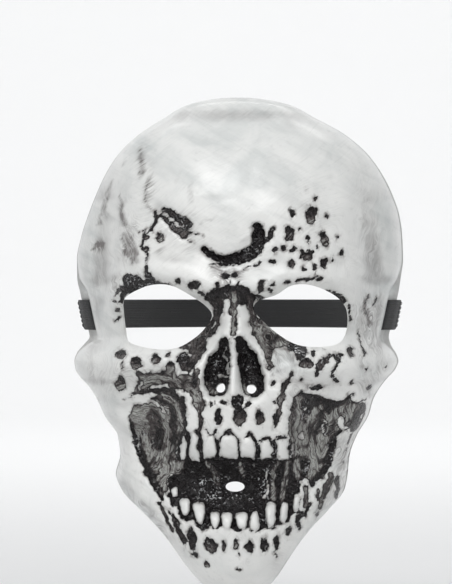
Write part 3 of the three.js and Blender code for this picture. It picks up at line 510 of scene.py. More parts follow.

# Raised ridges inside or beside the stained hollows: points, width at both ends, rise, and 1 where the
# wash is wiped off to the bare sheet or 0 where it is only thinned. The two bare ridges marked below are
# painted highlights.
RIDGES = table(
    ("line", "start", "end", "rise", "bare"),
    [
        ([
            (-1.5, -12.4), (-0.75, -17), (-0.35, -23), (-0.3, -27.5), (0.15, -31.5), (0.4, -36.5),
        ], 2.6, 5.4, 1.2, 1),
        ([(-4.2, 4.8), (-3.9, 0), (-3.8, -5), (-4.4, -9)], 1.8, 2.6, 1.0, 1),
        ([(3.2, 2.6), (3.8, -0.6), (3.4, -4)], 4.2, 4.2, 1.3, 1),
        ([(2.6, -5.6), (5.4, -9), (9.6, -13.6), (12.8, -20), (15, -28), (15.8, -36)], 3.6, 2.0, 1.0, 1),
        ([
            (-4.4, -8), (-8.6, -12), (-12, -17), (-15, -23.6), (-16.6, -30), (-15.6, -37),
        ], 1.8, 1.8, 1.0, 1),
        ([(-4.4, -15.9), (-5.4, -19), (-3.8, -22.3), (-3.4, -25), (-3.2, -28)], 0.7, 1.0, 0.5, 1),
        ([(-8, -29.6), (-5.4, -29.2), (-3.6, -29.8)], 0.8, 0.8, 0.4, 1),
        ([(-13.2, -32.6), (-12.2, -36), (-9.3, -37.4)], 0.6, 1.4, 0.4, 0),
        ([(3.6, -33.5), (4.4, -36), (6.8, -37.8)], 0.7, 1.4, 0.4, 0),
        ([(-28.2, -17.3), (-25.6, -17), (-23, -17.4)], 1.6, 1.4, 0.5, 1),
        ([(-0.4, 7.6), (-0.5, 0), (-0.9, -7)], 1.5, 1.3, 0.4, 0),
        ([(-44, -30.4), (-39, -31), (-34, -31.4)], 2.4, 1.8, 0.5, 0),
        ([(-45.4, -31.9), (-45.5, -35.3)], 1.2, 1.2, 0.3, 1),
        ([(-37.7, -34.1), (-32.5, -33.8)], 1.0, 1.0, 0.5, 1),
        ([
            (-36.4, -37.6), (-33.1, -38.8), (-31.2, -40), (-29.4, -42.5), (-27.4, -45), (-26.6, -47.7),
            (-26.2, -55),
        ], 0.7, 1.4, 0.5, 0),
        ([
            (-56.6, -42.1), (-50.8, -41.4), (-44.7, -41.7), (-40.1, -41.9), (-38, -42.5), (-35.5, -44.2),
            (-33.2, -47),
        ], 0.9, 1.1, 0.7, 1),
        ([(-33.4, -46.5), (-32.6, -53), (-32.2, -60.5)], 1.8, 2.2, 0.5, 0),
        ([(-49.4, -48.3), (-45.8, -54.6), (-42.6, -60.6), (-40, -65.6)], 2.6, 1.8, 0.4, 0),
        ([(-22.9, -38.2), (-21.8, -43), (-20.8, -48), (-20.6, -54)], 1.6, 4.8, 0.9, 1),
        ([(-47.6, -59), (-46.5, -62), (-45.4, -64)], 0.4, 0.6, 0.3, 1),
        ([(-33.4, -77), (-34.6, -81), (-34.2, -86)], 1.0, 1.4, 0.6, 0),
        ([(-36.4, -73), (-31.8, -71.6), (-27, -72.6)], 1.6, 1.0, 0.5, 0),
        ([(-33.8, -88.8), (-31.2, -93), (-28.6, -96), (-26.2, -98.6), (-24.6, -102)], 0.7, 1.5, 0.8, 1),
        ([(31, -40), (30.4, -44), (30, -49), (30.6, -55)], 0.9, 1.3, 0.5, 0),
        ([(42, -52.8), (42.4, -55.4), (42.6, -57.6)], 1.3, 1.3, 0.6, 1),
        ([(50.6, -50), (51.4, -54)], 3.2, 3.0, 0.6, 1),
        ([(52, -52.8), (54.8, -55)], 1.6, 1.2, 0.4, 1),
        ([(42.4, -49.4), (44.4, -53.6)], 1.0, 0.8, 0.4, 1),
        ([(43.6, -48.4), (46.4, -50.5), (48.4, -47.8)], 2.4, 2.2, 0.4, 0),
        ([(45.4, -50), (46, -54.6)], 2.0, 1.8, 0.4, 0),
        ([(33.1, -46), (34.5, -44.6)], 0.8, 0.9, 0.3, 1),
        ([(34.4, -48.6), (35.7, -50.9)], 1.5, 1.4, 0.3, 0),
        ([(38.6, -45.8), (41.2, -44.4)], 2.2, 2.0, 0.3, 0),
        ([(31.8, -56.8), (32, -58.8)], 1.8, 2.0, 0.5, 1),
        ([(36.6, -64.6), (38, -70), (37.4, -74.6)], 3.4, 2.4, 0.5, 0),
        ([(41.4, -58.6), (41.6, -63), (40.4, -68)], 2.8, 2.2, 0.5, 0),
        ([(29.8, -61), (29.8, -66)], 3.0, 2.4, 0.4, 0),
        # Painted highlight: a light spot on the glossy black blister of the right jaw.
        ([(60.9, -47.4), (60.7, -49.2)], 0.8, 0.9, 0.3, 1),
        ([(33.2, -70), (35, -69.8)], 0.5, 0.5, 0.2, 1),
        ([(33.4, -74.6), (34.7, -72.8)], 0.6, 0.6, 0.2, 1),
        ([(29.8, -70.8), (29, -74.6), (31.6, -79)], 2.6, 2.0, 0.5, 0),
        ([(32, -80.4), (32.4, -84), (32, -87)], 1.2, 1.8, 0.6, 1),
        ([(20.6, -70.6), (18.7, -74.9), (17.9, -81), (18.7, -88.4)], 0.8, 1.1, 0.7, 0),
        ([(25.5, -71.2), (24.4, -77.2), (23.6, -83.3), (22.4, -88.4)], 1.0, 1.4, 0.7, 0),
        ([
            (16.7, -73.4), (15.2, -75.7), (14.8, -79.5), (16, -81.8), (15.6, -84.9), (14.1, -87.9),
        ], 0.6, 1.0, 0.6, 1),
        ([(2.2, -70.9), (2.4, -73.4), (4.1, -78)], 1.4, 0.5, 0.4, 0),
        ([(-13.7, -71.1), (-11.1, -74), (-9.3, -77.3), (-8.2, -81.4)], 1.8, 1.0, 0.8, 0),
        ([(-12.4, -72), (-10.2, -74.8), (-8.8, -78), (-8.3, -81)], 0.2, 0.4, 0.4, 1),
        # Painted highlight: a light arc in the black stroke over the brow.
        ([(1.8, 34.6), (5, 37.4), (8.4, 40.6)], 1.0, 1.8, 0.8, 1),
        ([(-34, 47.6), (-30, 44.8), (-27, 42.4)], 0.7, 0.9, 0.4, 1),
    ],
)

# Painted highlights: places where light specks are painted on the crumpled black wash, where it glints:
# middle, width, height, lean and strength, as in SMUDGES.
PAINTED_GLINTS = table(
    ("x", "z", "width", "height", "lean", "strength"),
    [
        (-13.0, -80.6, 18.0, 3.4, -12, 1.0),
        (-9.0, -86.6, 14.0, 6.0, 0, 1.0),
        (3.4, -87.6, 8.0, 2.4, 0, 1.0),
        (8.8, -89.0, 3.4, 2.6, 0, 1.0),
        (10.4, -80.4, 7.0, 7.0, 0, 0.8),
        (15.4, -80.0, 3.4, 18.0, 0, 1.0),
        (34.4, -72.6, 4.0, 8.0, 0, 0.8),
        (19.2, -66.0, 4.0, 8.0, 0, 0.7),
        (11.0, -66.0, 4.0, 6.0, 0, 0.7),
        (-18.0, -99.6, 6.0, 6.0, 0, 0.7),
        (13.2, -98.6, 3.6, 6.0, 0, 0.7),
        (29.8, -17.4, 9.0, 6.4, 0, 1.0),
        (-26.0, -20.0, 6.0, 4.0, 0, 0.9),
        (-46.0, 16.0, 16.0, 6.0, 0, 0.7),
        (-27.0, 43.0, 14.0, 8.0, -30, 0.6),
        (8.0, 32.0, 10.0, 10.0, 0, 0.5),
        (-8.0, -22.0, 5.0, 14.0, 14, 0.7),
        (7.0, -26.0, 5.0, 12.0, -10, 0.7),
        (43.0, -21.0, 7.0, 8.0, 40, 0.6),
        (48.6, -22.0, 4.0, 8.0, 0, 0.6),
        (46.0, -68.0, 4.0, 10.0, -20, 0.8),
        (34.0, -47.0, 7.0, 10.0, -20, 0.6),
        (0.6, -42.0, 7.0, 5.0, 0, 0.5),
        (-46.6, -62.0, 3.0, 12.0, 16, 0.6),
    ],
)
# Painted shade: places where the sheet is painted bluish grey, where its sides, jaw and crown turn from
# the light. The columns are middle, width, height, lean and strength, as above.
PAINTED_SHADES = table(
    ("x", "z", "width", "height", "lean", "strength"),
    [
        (-71.0, 30.0, 18.0, 66.0, 4, 0.75),
        (-64.0, 4.0, 10.0, 30.0, -12, 0.5),
        (73.0, 34.0, 13.0, 74.0, -4, 0.6),
        (68.0, -2.0, 12.0, 30.0, -8, 0.55),
        (-60.0, -44.0, 8.0, 12.0, 0, 0.5),
        (-52.0, -90.0, 16.0, 36.0, -28, 0.6),
        (-40.0, -104.0, 10.0, 26.0, -40, 0.5),
        (42.0, -98.0, 12.0, 26.0, 36, 0.5),
        (50.0, -66.0, 6.0, 26.0, 8, 0.6),
        (66.0, -26.0, 12.0, 26.0, 0, 0.4),
        (0.0, 98.0, 60.0, 12.0, 0, 0.35),
        (-6.0, 70.0, 96.0, 56.0, 0, 0.42),
        (-46.0, 84.0, 34.0, 10.0, 40, 0.4),
        (50.0, 84.0, 34.0, 10.0, -40, 0.4),
        (24.0, -22.0, 16.0, 18.0, 30, 0.5),
    ],
)

# Thin grey washes left by the brush: middle, width, height, lean and strength.
SMUDGES = table(
    ("x", "z", "width", "height", "lean", "strength"),
    [
        (-45.4, 74.0, 3.6, 14.0, 10, 0.28),
        (-41.6, 59.0, 3.4, 20.0, 6, 0.4),
        (-54.5, 50.0, 3.4, 15.0, 8, 0.34),
        (-52.0, 33.0, 6.4, 16.0, 12, 0.5),
        (-49.5, 41.0, 4.4, 9.0, 20, 0.34),
        (-62.0, 52.0, 2.6, 18.0, 12, 0.26),
        (-65.5, 33.0, 5.6, 5.6, 20, 0.42),
        (-52.0, 72.0, 4.0, 1.6, -10, 0.25),
        (-67.0, 20.0, 10.0, 60.0, 2, 0.1),
        (-57.0, 15.0, 6.0, 10.0, 30, 0.3),
        (-8.0, 22.0, 9.0, 5.0, 0, 0.5),
        (-5.0, 17.6, 9.0, 5.0, 0, 0.55),
        (1.0, 19.0, 6.0, 5.0, 0, 0.5),
        (6.0, 22.0, 14.0, 2.6, -12, 0.26),
        (-20.0, 33.0, 10.0, 5.0, -20, 0.2),
        (-26.0, 42.0, 16.0, 12.0, -35, 0.3),
        (-36.0, 31.0, 4.0, 3.4, 0, 0.24),
        (-30.0, 27.0, 3.0, 3.0, 0, 0.16),
        (34.5, 60.5, 2.6, 4.0, 0, 0.3),
        (32.0, 52.0, 5.0, 3.0, 0, 0.12),
        (36.0, 42.0, 26.0, 22.0, 0, 0.1),
        (62.5, 40.0, 5.0, 46.0, -4, 0.16),
        (68.0, 30.0, 8.0, 40.0, 0, 0.1),
        (-56.0, -25.0, 14.0, 18.0, 0, 0.16),
        (-69.0, -26.0, 4.6, 12.0, -8, 0.26),
        (-62.0, -33.0, 4.0, 9.0, -16, 0.2),
        (-65.0, -42.0, 12.0, 5.0, -30, 0.14),
        (-34.0, -30.0, 26.0, 10.0, 8, 0.34),
        (-55.0, -70.0, 6.0, 34.0, -12, 0.14),
        (-56.4, -84.0, 6.0, 7.0, 0, 0.24),
        (-45.0, -92.0, 6.0, 22.0, -48, 0.3),
        (-39.0, -101.0, 4.6, 22.0, -38, 0.3),
        (-33.0, -108.0, 4.0, 16.0, -36, 0.26),
        (62.0, -2.0, 8.0, 22.0, -6, 0.3),
        (66.0, -8.0, 6.0, 26.0, -14, 0.34),
        (69.0, 2.0, 5.0, 14.0, 0, 0.25),
        (61.0, -22.0, 7.0, 14.0, -12, 0.24),
        (68.0, -27.0, 4.4, 12.0, 30, 0.34),
        (63.0, -36.0, 9.0, 5.0, 40, 0.4),
        (47.0, -32.0, 6.0, 6.0, 0, 0.16),
        (24.0, -20.0, 18.0, 20.0, 35, 0.24),
        (30.0, -52.0, 8.0, 30.0, 0, 0.5),
        (48.0, -62.0, 8.0, 20.0, -20, 0.4),
        (57.0, -62.0, 5.0, 16.0, 24, 0.4),
        (52.0, -74.0, 6.0, 20.0, 14, 0.4),
        (45.0, -90.0, 10.0, 12.0, 30, 0.3),
        (40.0, -100.0, 6.0, 16.0, 40, 0.2),
        (30.0, -62.0, 6.0, 12.0, 0, 0.5),
        (31.0, -66.0, 8.0, 8.0, 0, 0.5),
        (16.0, -47.0, 12.0, 8.0, 0, 0.14),
        (-13.0, -52.0, 5.0, 8.0, 0, 0.12),
        (4.0, -106.0, 50.0, 5.0, 0, 0.1),
        (21.0, -117.0, 5.0, 9.0, 10, 0.2),
        (6.0, -119.0, 4.0, 4.0, 0, 0.14),
    ],
)

# Thin grey lines and dabs of the same wash: points, width at both ends and strength.
WISPS = table(
    ("line", "start", "end", "strength"),
    [
        ([(-45.6, 80), (-45, 74), (-44.4, 68)], 1.4, 2.4, 0.75),
        ([(-40, 67), (-42.6, 62), (-43.2, 57), (-42, 52.5), (-40.6, 50.6)], 0.4, 1.0, 0.8),
        ([(-59.5, 64), (-61, 58), (-62.8, 53), (-64, 48), (-65.6, 43.6)], 0.8, 1.2, 0.65),
        ([(-55, 58), (-54.6, 52), (-54, 47), (-52.8, 43.8)], 0.8, 2.8, 0.8),
        ([(-53, 38), (-51, 33), (-48.6, 27)], 2.6, 4.6, 0.6),
        ([(-54.6, 36), (-52.6, 31), (-49.6, 25)], 0.8, 1.2, 0.95),
        ([(-49.6, 38), (-48.8, 33), (-46.8, 28.6)], 0.8, 1.2, 0.95),
        ([(-68.2, 31.4), (-66, 33.4), (-63.4, 34.8)], 1.4, 2.0, 0.9),
        ([(-54.6, 72), (-51.8, 73.6)], 0.6, 0.8, 0.6),
        ([(-16.8, 44.2), (-12, 45.8), (-8.6, 46.8)], 0.8, 0.4, 0.4),
        ([(-28.8, 64), (-25.6, 68.5)], 0.8, 0.6, 0.25),
        ([(-21.4, 61), (-21.2, 54.6)], 2.2, 2.6, 0.25),
        ([(63.6, 9), (62.6, 3), (64.6, -4)], 1.2, 2.6, 0.8),
        ([(14.6, -22), (17.6, -29)], 1.4, 1.0, 0.95),
        ([(18.6, -17), (21.6, -23)], 1.4, 0.8, 0.5),
        ([(24, -16), (27, -20), (28.6, -24)], 1.4, 0.8, 0.6),
        ([(20.6, -26.4), (25, -27.8)], 0.8, 0.8, 0.4),
        ([(-11, 23), (-7, 21), (-5.4, 18.8)], 1.8, 2.8, 0.8),
        ([(-4, 21.6), (2, 21), (7, 22.6)], 1.2, 0.6, 0.55),
    ],
)

# Lines that the brush marks run beside.
BRUSH_LINES = [
    [(-56, -38), (-46, -36), (-36, -37), (-28, -43), (-24, -54), (-26, -70), (-34, -88)],
    [(30, -36), (34, -48), (33, -62), (36, -76), (30, -92)],
    [(58, -36), (56, -52), (48, -68), (38, -86), (28, -104)],
    [(10, 8), (14, -8), (24, -26)],
    [(-10, 8), (-14, -10), (-22, -26)],
    [(-76, 60), (-68, 20), (-66, -14), (-70, -40)],
    [(76, 60), (68, 20), (64, -14), (70, -40)],
    [(-62, -60), (-50, -92), (-30, -118), (-14, -134)],
]

# Holes of the shell, in millimetres of the front view. The mouth slot is a middle, a width and a
# height. The web is the strip of side wall behind each strap slot, and the foot of the wall runs
# back by its slope for each millimetre outwards.
EYE_LEFT = [
    (-55, 3), (-53.5, 8.5), (-47, 12.5), (-39, 15), (-30, 14.5), (-20.5, 9.5), (-13.5, 4.5), (-10.8, 0),
    (-14.5, -6), (-20, -11), (-27, -15), (-35, -16), (-44.5, -14.8), (-52.3, -12), (-54.6, -5),
]
EYE_RIGHT = [
    (9.2, 3), (10.9, 7), (20, 10.2), (27, 14.5), (35, 15), (44, 12), (51, 7), (54.4, 0), (54, -7.5),
    (49.5, -13.2), (40.4, -14.8), (30, -13.8), (21, -9), (13, -2),
]
NOSTRILS = [(-6.6, -34.0), (8.1, -34.5)]
NOSTRIL_SIZE = 4.6
MOUTH_SLOT = (0.0, -81.75, 9.2, 4.8)
SLOT_LENGTH = 18.0
SLOT_WIDTH = 3.6
WEB_WIDTH = 6.0
FOOT_SLOPE = 1.3

# Where the mask is seen from, in millimetres and degrees: distance, turn, place aside and height,
# and the distance and middle of the plane in which the tables of details are measured. The focal
# length and the height of the picture are in pixels.
VIEW = {"away": 1400.0, "turn": 1.9, "aside": -6.5, "level": 11.5}
PLANE = {"away": 1337.3, "x": -4.32, "z": 11.04}
FOCAL_LENGTH = 2786.0
PICTURE_HEIGHT = 584.0
SENSOR = 24.0

# The grid over the front: its columns, those on each foot and those that a strap slot may cut, the
# rows of the chin, of the face's bands and of the crown, and the cell by which points snap to holes.
COLUMNS = 212
FOOT_COLUMNS = 4
SIDE_COLUMNS = 26
CHIN_ROWS = 12
FACE_BANDS = [(-126.0, -107.0, 14), (-107.0, 20.0, 145), (20.0, 58.0, 40)]
CROWN_ROWS = 29
CELL = 0.8

# Ripples, each a height and a size in millimetres. The first three move the edges of shapes.
SHAPE_RIPPLES = ((0.55, 6.0), (0.4, 2.4))
SPOT_RIPPLES = ((1.2, 9.0),)
WISP_RIPPLES = ((0.7, 5.0),)
TONE_RIPPLES = ((0.3, 9.0), (0.2, 4.0))
SLANT_RIPPLES = ((2.2, 40.0),)
BRUSH_RIPPLES = ((1.5, 11.0), (0.5, 4.0))
SHEET_RIPPLES = ((0.22, 17.0), (0.1, 7.0))

# Widths in millimetres over which shapes fade at their edges.
WASH_EDGE = 3.0
DENT_SLOPE = 1.6
PATCH_SLOPE = 3.0
RIDGE_EDGE = 2.4
RIDGE_HAZE = 1.3
RIDGE_SLOPE = 2.2
TOOTH_EDGE = 1.6
TOOTH_ROUND = 2.0
WISP_EDGE = 1.6
TOOTH_SQUARENESS = 2.8

# Shares of the dome's depth: the relief fades out below the first, and the wash on the side walls
# is gone at the second and whole once the third is added.
RELIEF_FADE = 0.35
WASH_GONE = 0.16
WASH_FADE = 0.26

# The brush marks: slant of the straight ones, as shares of x and z, and how far from a brush line
# the marks stop running beside it and over what width they turn. Below, how often the front is
# blurred for the normals of the inside and for the hollows, and the depth of a full hollow.
BRUSH_SLANT = (-0.57, 0.82)
BRUSH_REACH = 26.0
BRUSH_TURN = 14.0
CALM_BLUR = 3
HOLLOW_BLUR = 26
HOLLOW_DEPTH = 0.5

# The strap, in millimetres: how far its loop reaches back from the slot and how long its path is,
# where the straight part of each layer starts and how far before that reach it ends, the length
# over which the layers meet, and the spacing of the path's points. The lean of the side wall is
# gone at LEAN_SHARE of the way to the back of the strap.
LOOP_REACH = WEB_WIDTH + 3.0
LOOP_LENGTH = 2 * LOOP_REACH + 4.0
LAYER_START = 0.6
LAYER_END = 1.5
MEETING_LENGTH = 6.0
PATH_SPACING = 0.7
LEAN_SHARE = 0.6

# The weave, in millimetres: half waves of ribs across the strap and their height, the share by which
# its thickness beats, the length of a beat, and the pitches of the material's finer ribs and beat.
RIBS = 9
RIB_HEIGHT = 0.05
BEAT_SHARE = 0.02
BEAT_LENGTH = 1.6
FINE_RIB = 0.9
FINE_BEAT = 0.7

# The sewing, in millimetres: distances of its rows from the sewn end, stitches in a row, the height
# at which the first one starts, and their spacing, length, radius, lift and the rise of their bend.
SEWING_ROWS = (2.5, 10.5)
STITCHES = 6
STITCH = {"first": -6.2, "spacing": 2.2, "length": 1.6, "radius": 0.18, "lift": 0.05, "bend": 0.22}

# The studio, in metres and watts.
STAGE = {"floor": -0.165, "radius": 0.8, "flat": 2.4, "wall": 1.6, "sides": 64}
SKY = (0.96, 0.98, 1.0, 1.0)
SKY_STRENGTH = 0.45
MASK_MIDDLE = (0, -0.05, 0)
LIGHTS = table(
    ("name", "location", "target", "size", "power"),
    [
        ("key", (-0.3, -0.95, 1.15), MASK_MIDDLE, (0.8, 0.7), 9.0),
        ("fill", (0.35, -1.25, 0.75), MASK_MIDDLE, (0.22, 0.6), 3.4),
        ("backdrop", (0, 1.2, 1.9), (0, 2.9, 0.3), (2.4, 0.6), 34.0),
    ],
)


def length_property(name, description, default):
    """A length that the user may change."""
    return bpy.props.FloatProperty(name=name, description=description, default=default, unit="LENGTH")


def colour_property(name, description, default):
    """A colour that the user may change."""
    return bpy.props.FloatVectorProperty(
        name=name, description=description, subtype="COLOR", size=3, default=default
    )


class MaskSizes(bpy.types.PropertyGroup):
    """Sizes of the shell and the strap."""

    mask_width: length_property("Mask width", "Width across the temples", 0.165)
    mask_height: length_property("Mask height", "Unit of height; the shell is a little lower", 0.25)
    mask_depth: length_property("Mask depth", "Unit of depth from the rim to the front", 0.092)
    wall: length_property("Wall", "Thickness of the formed sheet", 0.0012)
    band_width: length_property("Strap width", "Width of the elastic", 0.015)
    band_thickness: length_property("Strap thickness", "Thickness of the elastic", 0.0011)
    band_clearance: length_property("Strap clearance", "Air between the strap's loop and the web", 0.0006)
    sewn_length: length_property("Sewn length", "Length where the strap is doubled and sewn", 0.014)
    head_length: length_property("Head length", "From the strap slots to the back of the strap", 0.108)
    head_spread: length_property("Head spread", "How much wider the strap runs than its slots", 0.001)


class MaskColours(bpy.types.PropertyGroup):
    """Colours and finishes."""

    plastic: colour_property("Plastic", "White of the sheet", (0.84, 0.84, 0.82))
    # Random mottling, and painted shade on the sides and crown that turn from the light.
    mottle_and_shade_tint: colour_property("Cool tint", "Bluish grey of the sheet's sides", (0.52, 0.55, 0.545))
    wash: colour_property("Black wash", "Solid black of the wash", (0.006, 0.0045, 0.005))
    thin_wash: colour_property("Thin wash", "Grey of the rubbed wash", (0.085, 0.072, 0.07))
    wash_edge: colour_property("Wash edge", "Brown edge of the wash", (0.12, 0.095, 0.085))
    worn_wash: colour_property("Worn wash", "Grey where the wash is worn away", (0.46, 0.465, 0.44))
    # Also the light specks on the crumple's peaks: partly worn sheet, partly painted highlights.
    scratches_and_sheen: colour_property("Scratches", "Scratches and bare specks", (0.42, 0.42, 0.41))
    # Painted highlights: the colour of the light specks painted where the crumpled wash glints.
    painted_sparks: colour_property("Sparks", "Glints on the crumpled wash", (0.78, 0.79, 0.8))
    elastic: colour_property("Elastic", "Black of the strap", (0.012, 0.012, 0.013))
    studio: colour_property("Studio", "Floor and backdrop", (0.86, 0.86, 0.86))
    gloss: bpy.props.FloatProperty(
        name="Gloss",
        description="Roughness of the bare plastic",
        default=0.3,
        min=0.0,
        max=1.0,
        subtype="FACTOR",
    )


def soft_step(value):
    """Smooth step of each value between 0 and 1: 3v^2 - 2v^3 after clipping."""
    v = np.clip(value, 0.0, 1.0)
    return v * v * (3.0 - 2.0 * v)


def monotone(name, power=1):
    """Reader of one column of SECTIONS: a cubic through the values whose slopes are the harmonic means
    of the neighbouring slopes. With power 2 the squares are read and the root is given back."""
    levels = np.array([row["level"] for row in SECTIONS])[::-1]
    values = np.array([row[name] for row in SECTIONS])[::-1] ** power
    gaps = np.diff(levels)
    slopes = np.diff(values) / gaps
    product = slopes[:-1] * slopes[1:]
    total = slopes[:-1] + slopes[1:]
    inner = np.where(product > 0, 2 * product / np.where(total == 0, 1, total), 0.0)
    tangents = np.concatenate([slopes[:1], inner, slopes[-1:]])

    def read(level):
        at = np.clip(level, levels[0], levels[-1])
        i = np.clip(np.searchsorted(levels, at, side="right") - 1, 0, len(gaps) - 1)
        t = (at - levels[i]) / gaps[i]
        bend = gaps[i] * t * (1 - t) * ((1 - t) * tangents[i] - t * tangents[i + 1])
        value = values[i] + (values[i + 1] - values[i]) * soft_step(t) + bend
        return value if power == 1 else np.sqrt(np.maximum(value, 0.0))

    return read


READ = {name: monotone(name, 2) for name in ("left", "right", "deep")}
READ.update({name: monotone(name) for name in ("rim", "edge", "foot")})


def line_gap(x, z, points, start=0.0, end=0.0):
    """Distance from each place to a line through the points, less half a width that runs evenly
    from start to end."""
    points = np.asarray(points, float)
    steps = np.hypot(*np.diff(points, axis=0).T)
    total = steps.sum()
    best = np.full(np.shape(x), np.inf)
    done = 0.0
    for (ax, az), (bx, bz), step in zip(points[:-1], points[1:], steps):
        along = np.clip(((x - ax) * (bx - ax) + (z - az) * (bz - az)) / step**2, 0, 1)
        away = np.hypot(x - ax - along * (bx - ax), z - az - along * (bz - az))
        share = (done + along * step) / total
        best = np.minimum(best, away - 0.5 * (start + (end - start) * share))
        done += step
    return best


def in_oval(x, z, middle, half, lean):
    """Places as shares of a leaning oval's two half sizes: offsets from its middle, turned by the
    lean in degrees."""
    turn = math.radians(lean)
    dx, dz = x - middle[0], z - middle[1]
    across = (dx * math.cos(turn) - dz * math.sin(turn)) / half[0]
    up = (dx * math.sin(turn) + dz * math.cos(turn)) / half[1]
    return across, up


def row_oval(x, z, row):
    """Places as shares of the oval that a table's row gives."""
    return in_oval(x, z, (row["x"], row["z"]), (row["width"] / 2, row["height"] / 2), row["lean"])


def oval_gap(x, z, form, squareness=2.0):
    """Distance in millimetres, negative inside, to a leaning oval: its superellipse measure less 1,
    times its smaller half size. With a taper its width grows evenly from bottom to top."""
    across, up = row_oval(x, z, form)
    across = across / (1 + form.get("taper", 0.0) * np.clip(up, -1, 1))
    measure = (np.abs(across) ** squareness + np.abs(up) ** squareness) ** (1 / squareness)
    return (measure - 1) * min(form["width"], form["height"]) / 2


def outline_gap(x, z, corners):
    """Signed distance, negative inside, to a closed outline: distance to the nearest side, with the
    sign from how often a ray to the left crosses the outline."""
    corners = np.asarray(corners, float)
    closed = np.vstack([corners, corners[:1]])
    away = line_gap(x, z, closed)
    inside = np.zeros(np.shape(x), bool)
    for (ax, az), (bx, bz) in zip(closed[:-1], closed[1:]):
        if az == bz:
            continue
        crosses = (az > z) != (bz > z)
        inside ^= crosses & (x < ax + (z - az) * (bx - ax) / (bz - az))
    return np.where(inside, -away, away)


def rounded(corners, steps=60):
    """Closed curve through the corners: cubic Hermite pieces whose tangents are half the chord
    between the two neighbours."""
    p = np.asarray(corners, float)
    tangent = (np.roll(p, -1, 0) - np.roll(p, 1, 0)) / 2
    t = np.linspace(0, len(p), steps, endpoint=False)
    i = t.astype(int)
    f = (t - i)[:, None]
    j = (i + 1) % len(p)
    h = (2 * f**3 - 3 * f**2 + 1) * p[i] + (f**3 - 2 * f**2 + f) * tangent[i]
    return h + (-2 * f**3 + 3 * f**2) * p[j] + (f**3 - f**2) * tangent[j]


def oval_corners(x, z, across, up, steps=24):
    """Points of an upright oval."""
    turn = np.linspace(0, 2 * np.pi, steps, endpoint=False)
    return np.c_[x + across / 2 * np.cos(turn), z + up / 2 * np.sin(turn)]


def ripple(x, z, size, seed):
    """Smooth random field, mostly between -1 and 1: a quarter of the sum of nine sine waves 0.7 to
    1.5 sizes long, in directions and phases drawn from the seed."""
    rng = np.random.default_rng(seed)
    field = 0.0
    for _ in range(9):
        turn, phase, stretch = rng.uniform(0, 2 * np.pi, 3)
        k = 2 * np.pi / (size * (0.7 + stretch / 8))
        field = field + np.sin(k * (x * math.cos(turn) + z * math.sin(turn)) + phase)
    return field / 4.0


def ripples(x, z, waves, seed):
    """Sum of ripples of the given heights and sizes, with seeds that follow one another."""
    return sum(height * ripple(x, z, size, seed + i) for i, (height, size) in enumerate(waves))


def moved(x, z, waves, seed):
    """Places moved by ripples, so that what is looked up there gets a ragged edge."""
    return x + ripples(x, z, waves, seed), z + ripples(x, z, waves, seed + len(waves))


def soft_spots(x, z, spots):
    """Strength of a table's soft ovals: the sum of exp of -0.9 times their radius squared."""
    places = moved(x, z, SPOT_RIPPLES, 21)
    grey = np.zeros(np.shape(x))
    for spot in spots:
        across, up = row_oval(*places, spot)
        grey += spot["strength"] * np.exp(-(across**2 + up**2) * 0.9)
    return np.clip(grey, 0, 1)


def wisps(x, z):
    """Strength of the thin grey lines: a smooth step across each line's edge, the greatest kept."""
    places = moved(x, z, WISP_RIPPLES, 23)
    grey = np.zeros(np.shape(x))
    for wisp in WISPS:
        gap = line_gap(*places, wisp["line"], wisp["start"], wisp["end"])
        grey = np.maximum(grey, wisp["strength"] * soft_step(0.5 - gap / WISP_EDGE))
    return grey


class Stains:
    """The dark shapes together. The wash's field is the greatest of theirs, its tone their mean,
    weighted by the square of how far inside each a place is, and the relief their deepest dent."""

    def __init__(self, shape):
        self.field = np.zeros(shape)
        self.tones = np.zeros(shape)
        self.weight = np.full(shape, 1e-6)
        self.relief = np.zeros(shape)

    def add(self, gap, depth, tone, slope=DENT_SLOPE, painted_lit_side=0.0, say=1.0):
        """Adds a shape by the distance to its edge. Its field is 1/2 there and grows inwards."""
        # The lit side lowers the field where light is painted on a dent's lower wall.
        ink = np.clip(0.5 - gap / WASH_EDGE, 0.0, 1.0) - painted_lit_side
        share = say * np.clip(ink - 0.3, 0, 1) ** 2
        self.field = np.maximum(self.field, ink)
        self.tones += tone * share
        self.weight += share
        self.relief = np.minimum(self.relief, -depth * soft_step(0.35 - gap / slope))


def dark_shapes(x, z, drift):
    """Stains of the patches, pits and strokes. A pit is darkest along its top, painted shade under its
    upper edge, and opens along its bottom, painted light on its lower wall; a patch's tone drifts by a
    smooth random field and gives way to the smaller shapes."""
    stains = Stains(np.shape(x))
    for patch in PATCHES:
        tone = patch["tone"] + drift * (1 - patch["tone"]) * 1.4
        gap = outline_gap(x, z, rounded(patch["outline"], 4 * len(patch["outline"])))
        stains.add(gap, patch["depth"], tone, PATCH_SLOPE, say=0.06 + 0.5 * patch["tone"] ** 4)
    for pit in PITS:
        # Painted shade darkens the pit along its top, and painted light opens it along its bottom.
        rise = (z - pit["z"]) / (pit["height"] / 2)
        tone = pit["tone"] + (1 - pit["tone"]) * soft_step(0.45 + 0.75 * rise)
        painted_lit_side = (1 - pit["tone"]) * 0.28 * soft_step(-0.1 - 0.9 * rise)
        stains.add(oval_gap(x, z, pit), pit["depth"], tone, painted_lit_side=painted_lit_side)
    for stroke in STROKES:
        gap = line_gap(x, z, stroke["line"], stroke["start"], stroke["end"])
        stains.add(gap, stroke["depth"], stroke["tone"])
    return stains


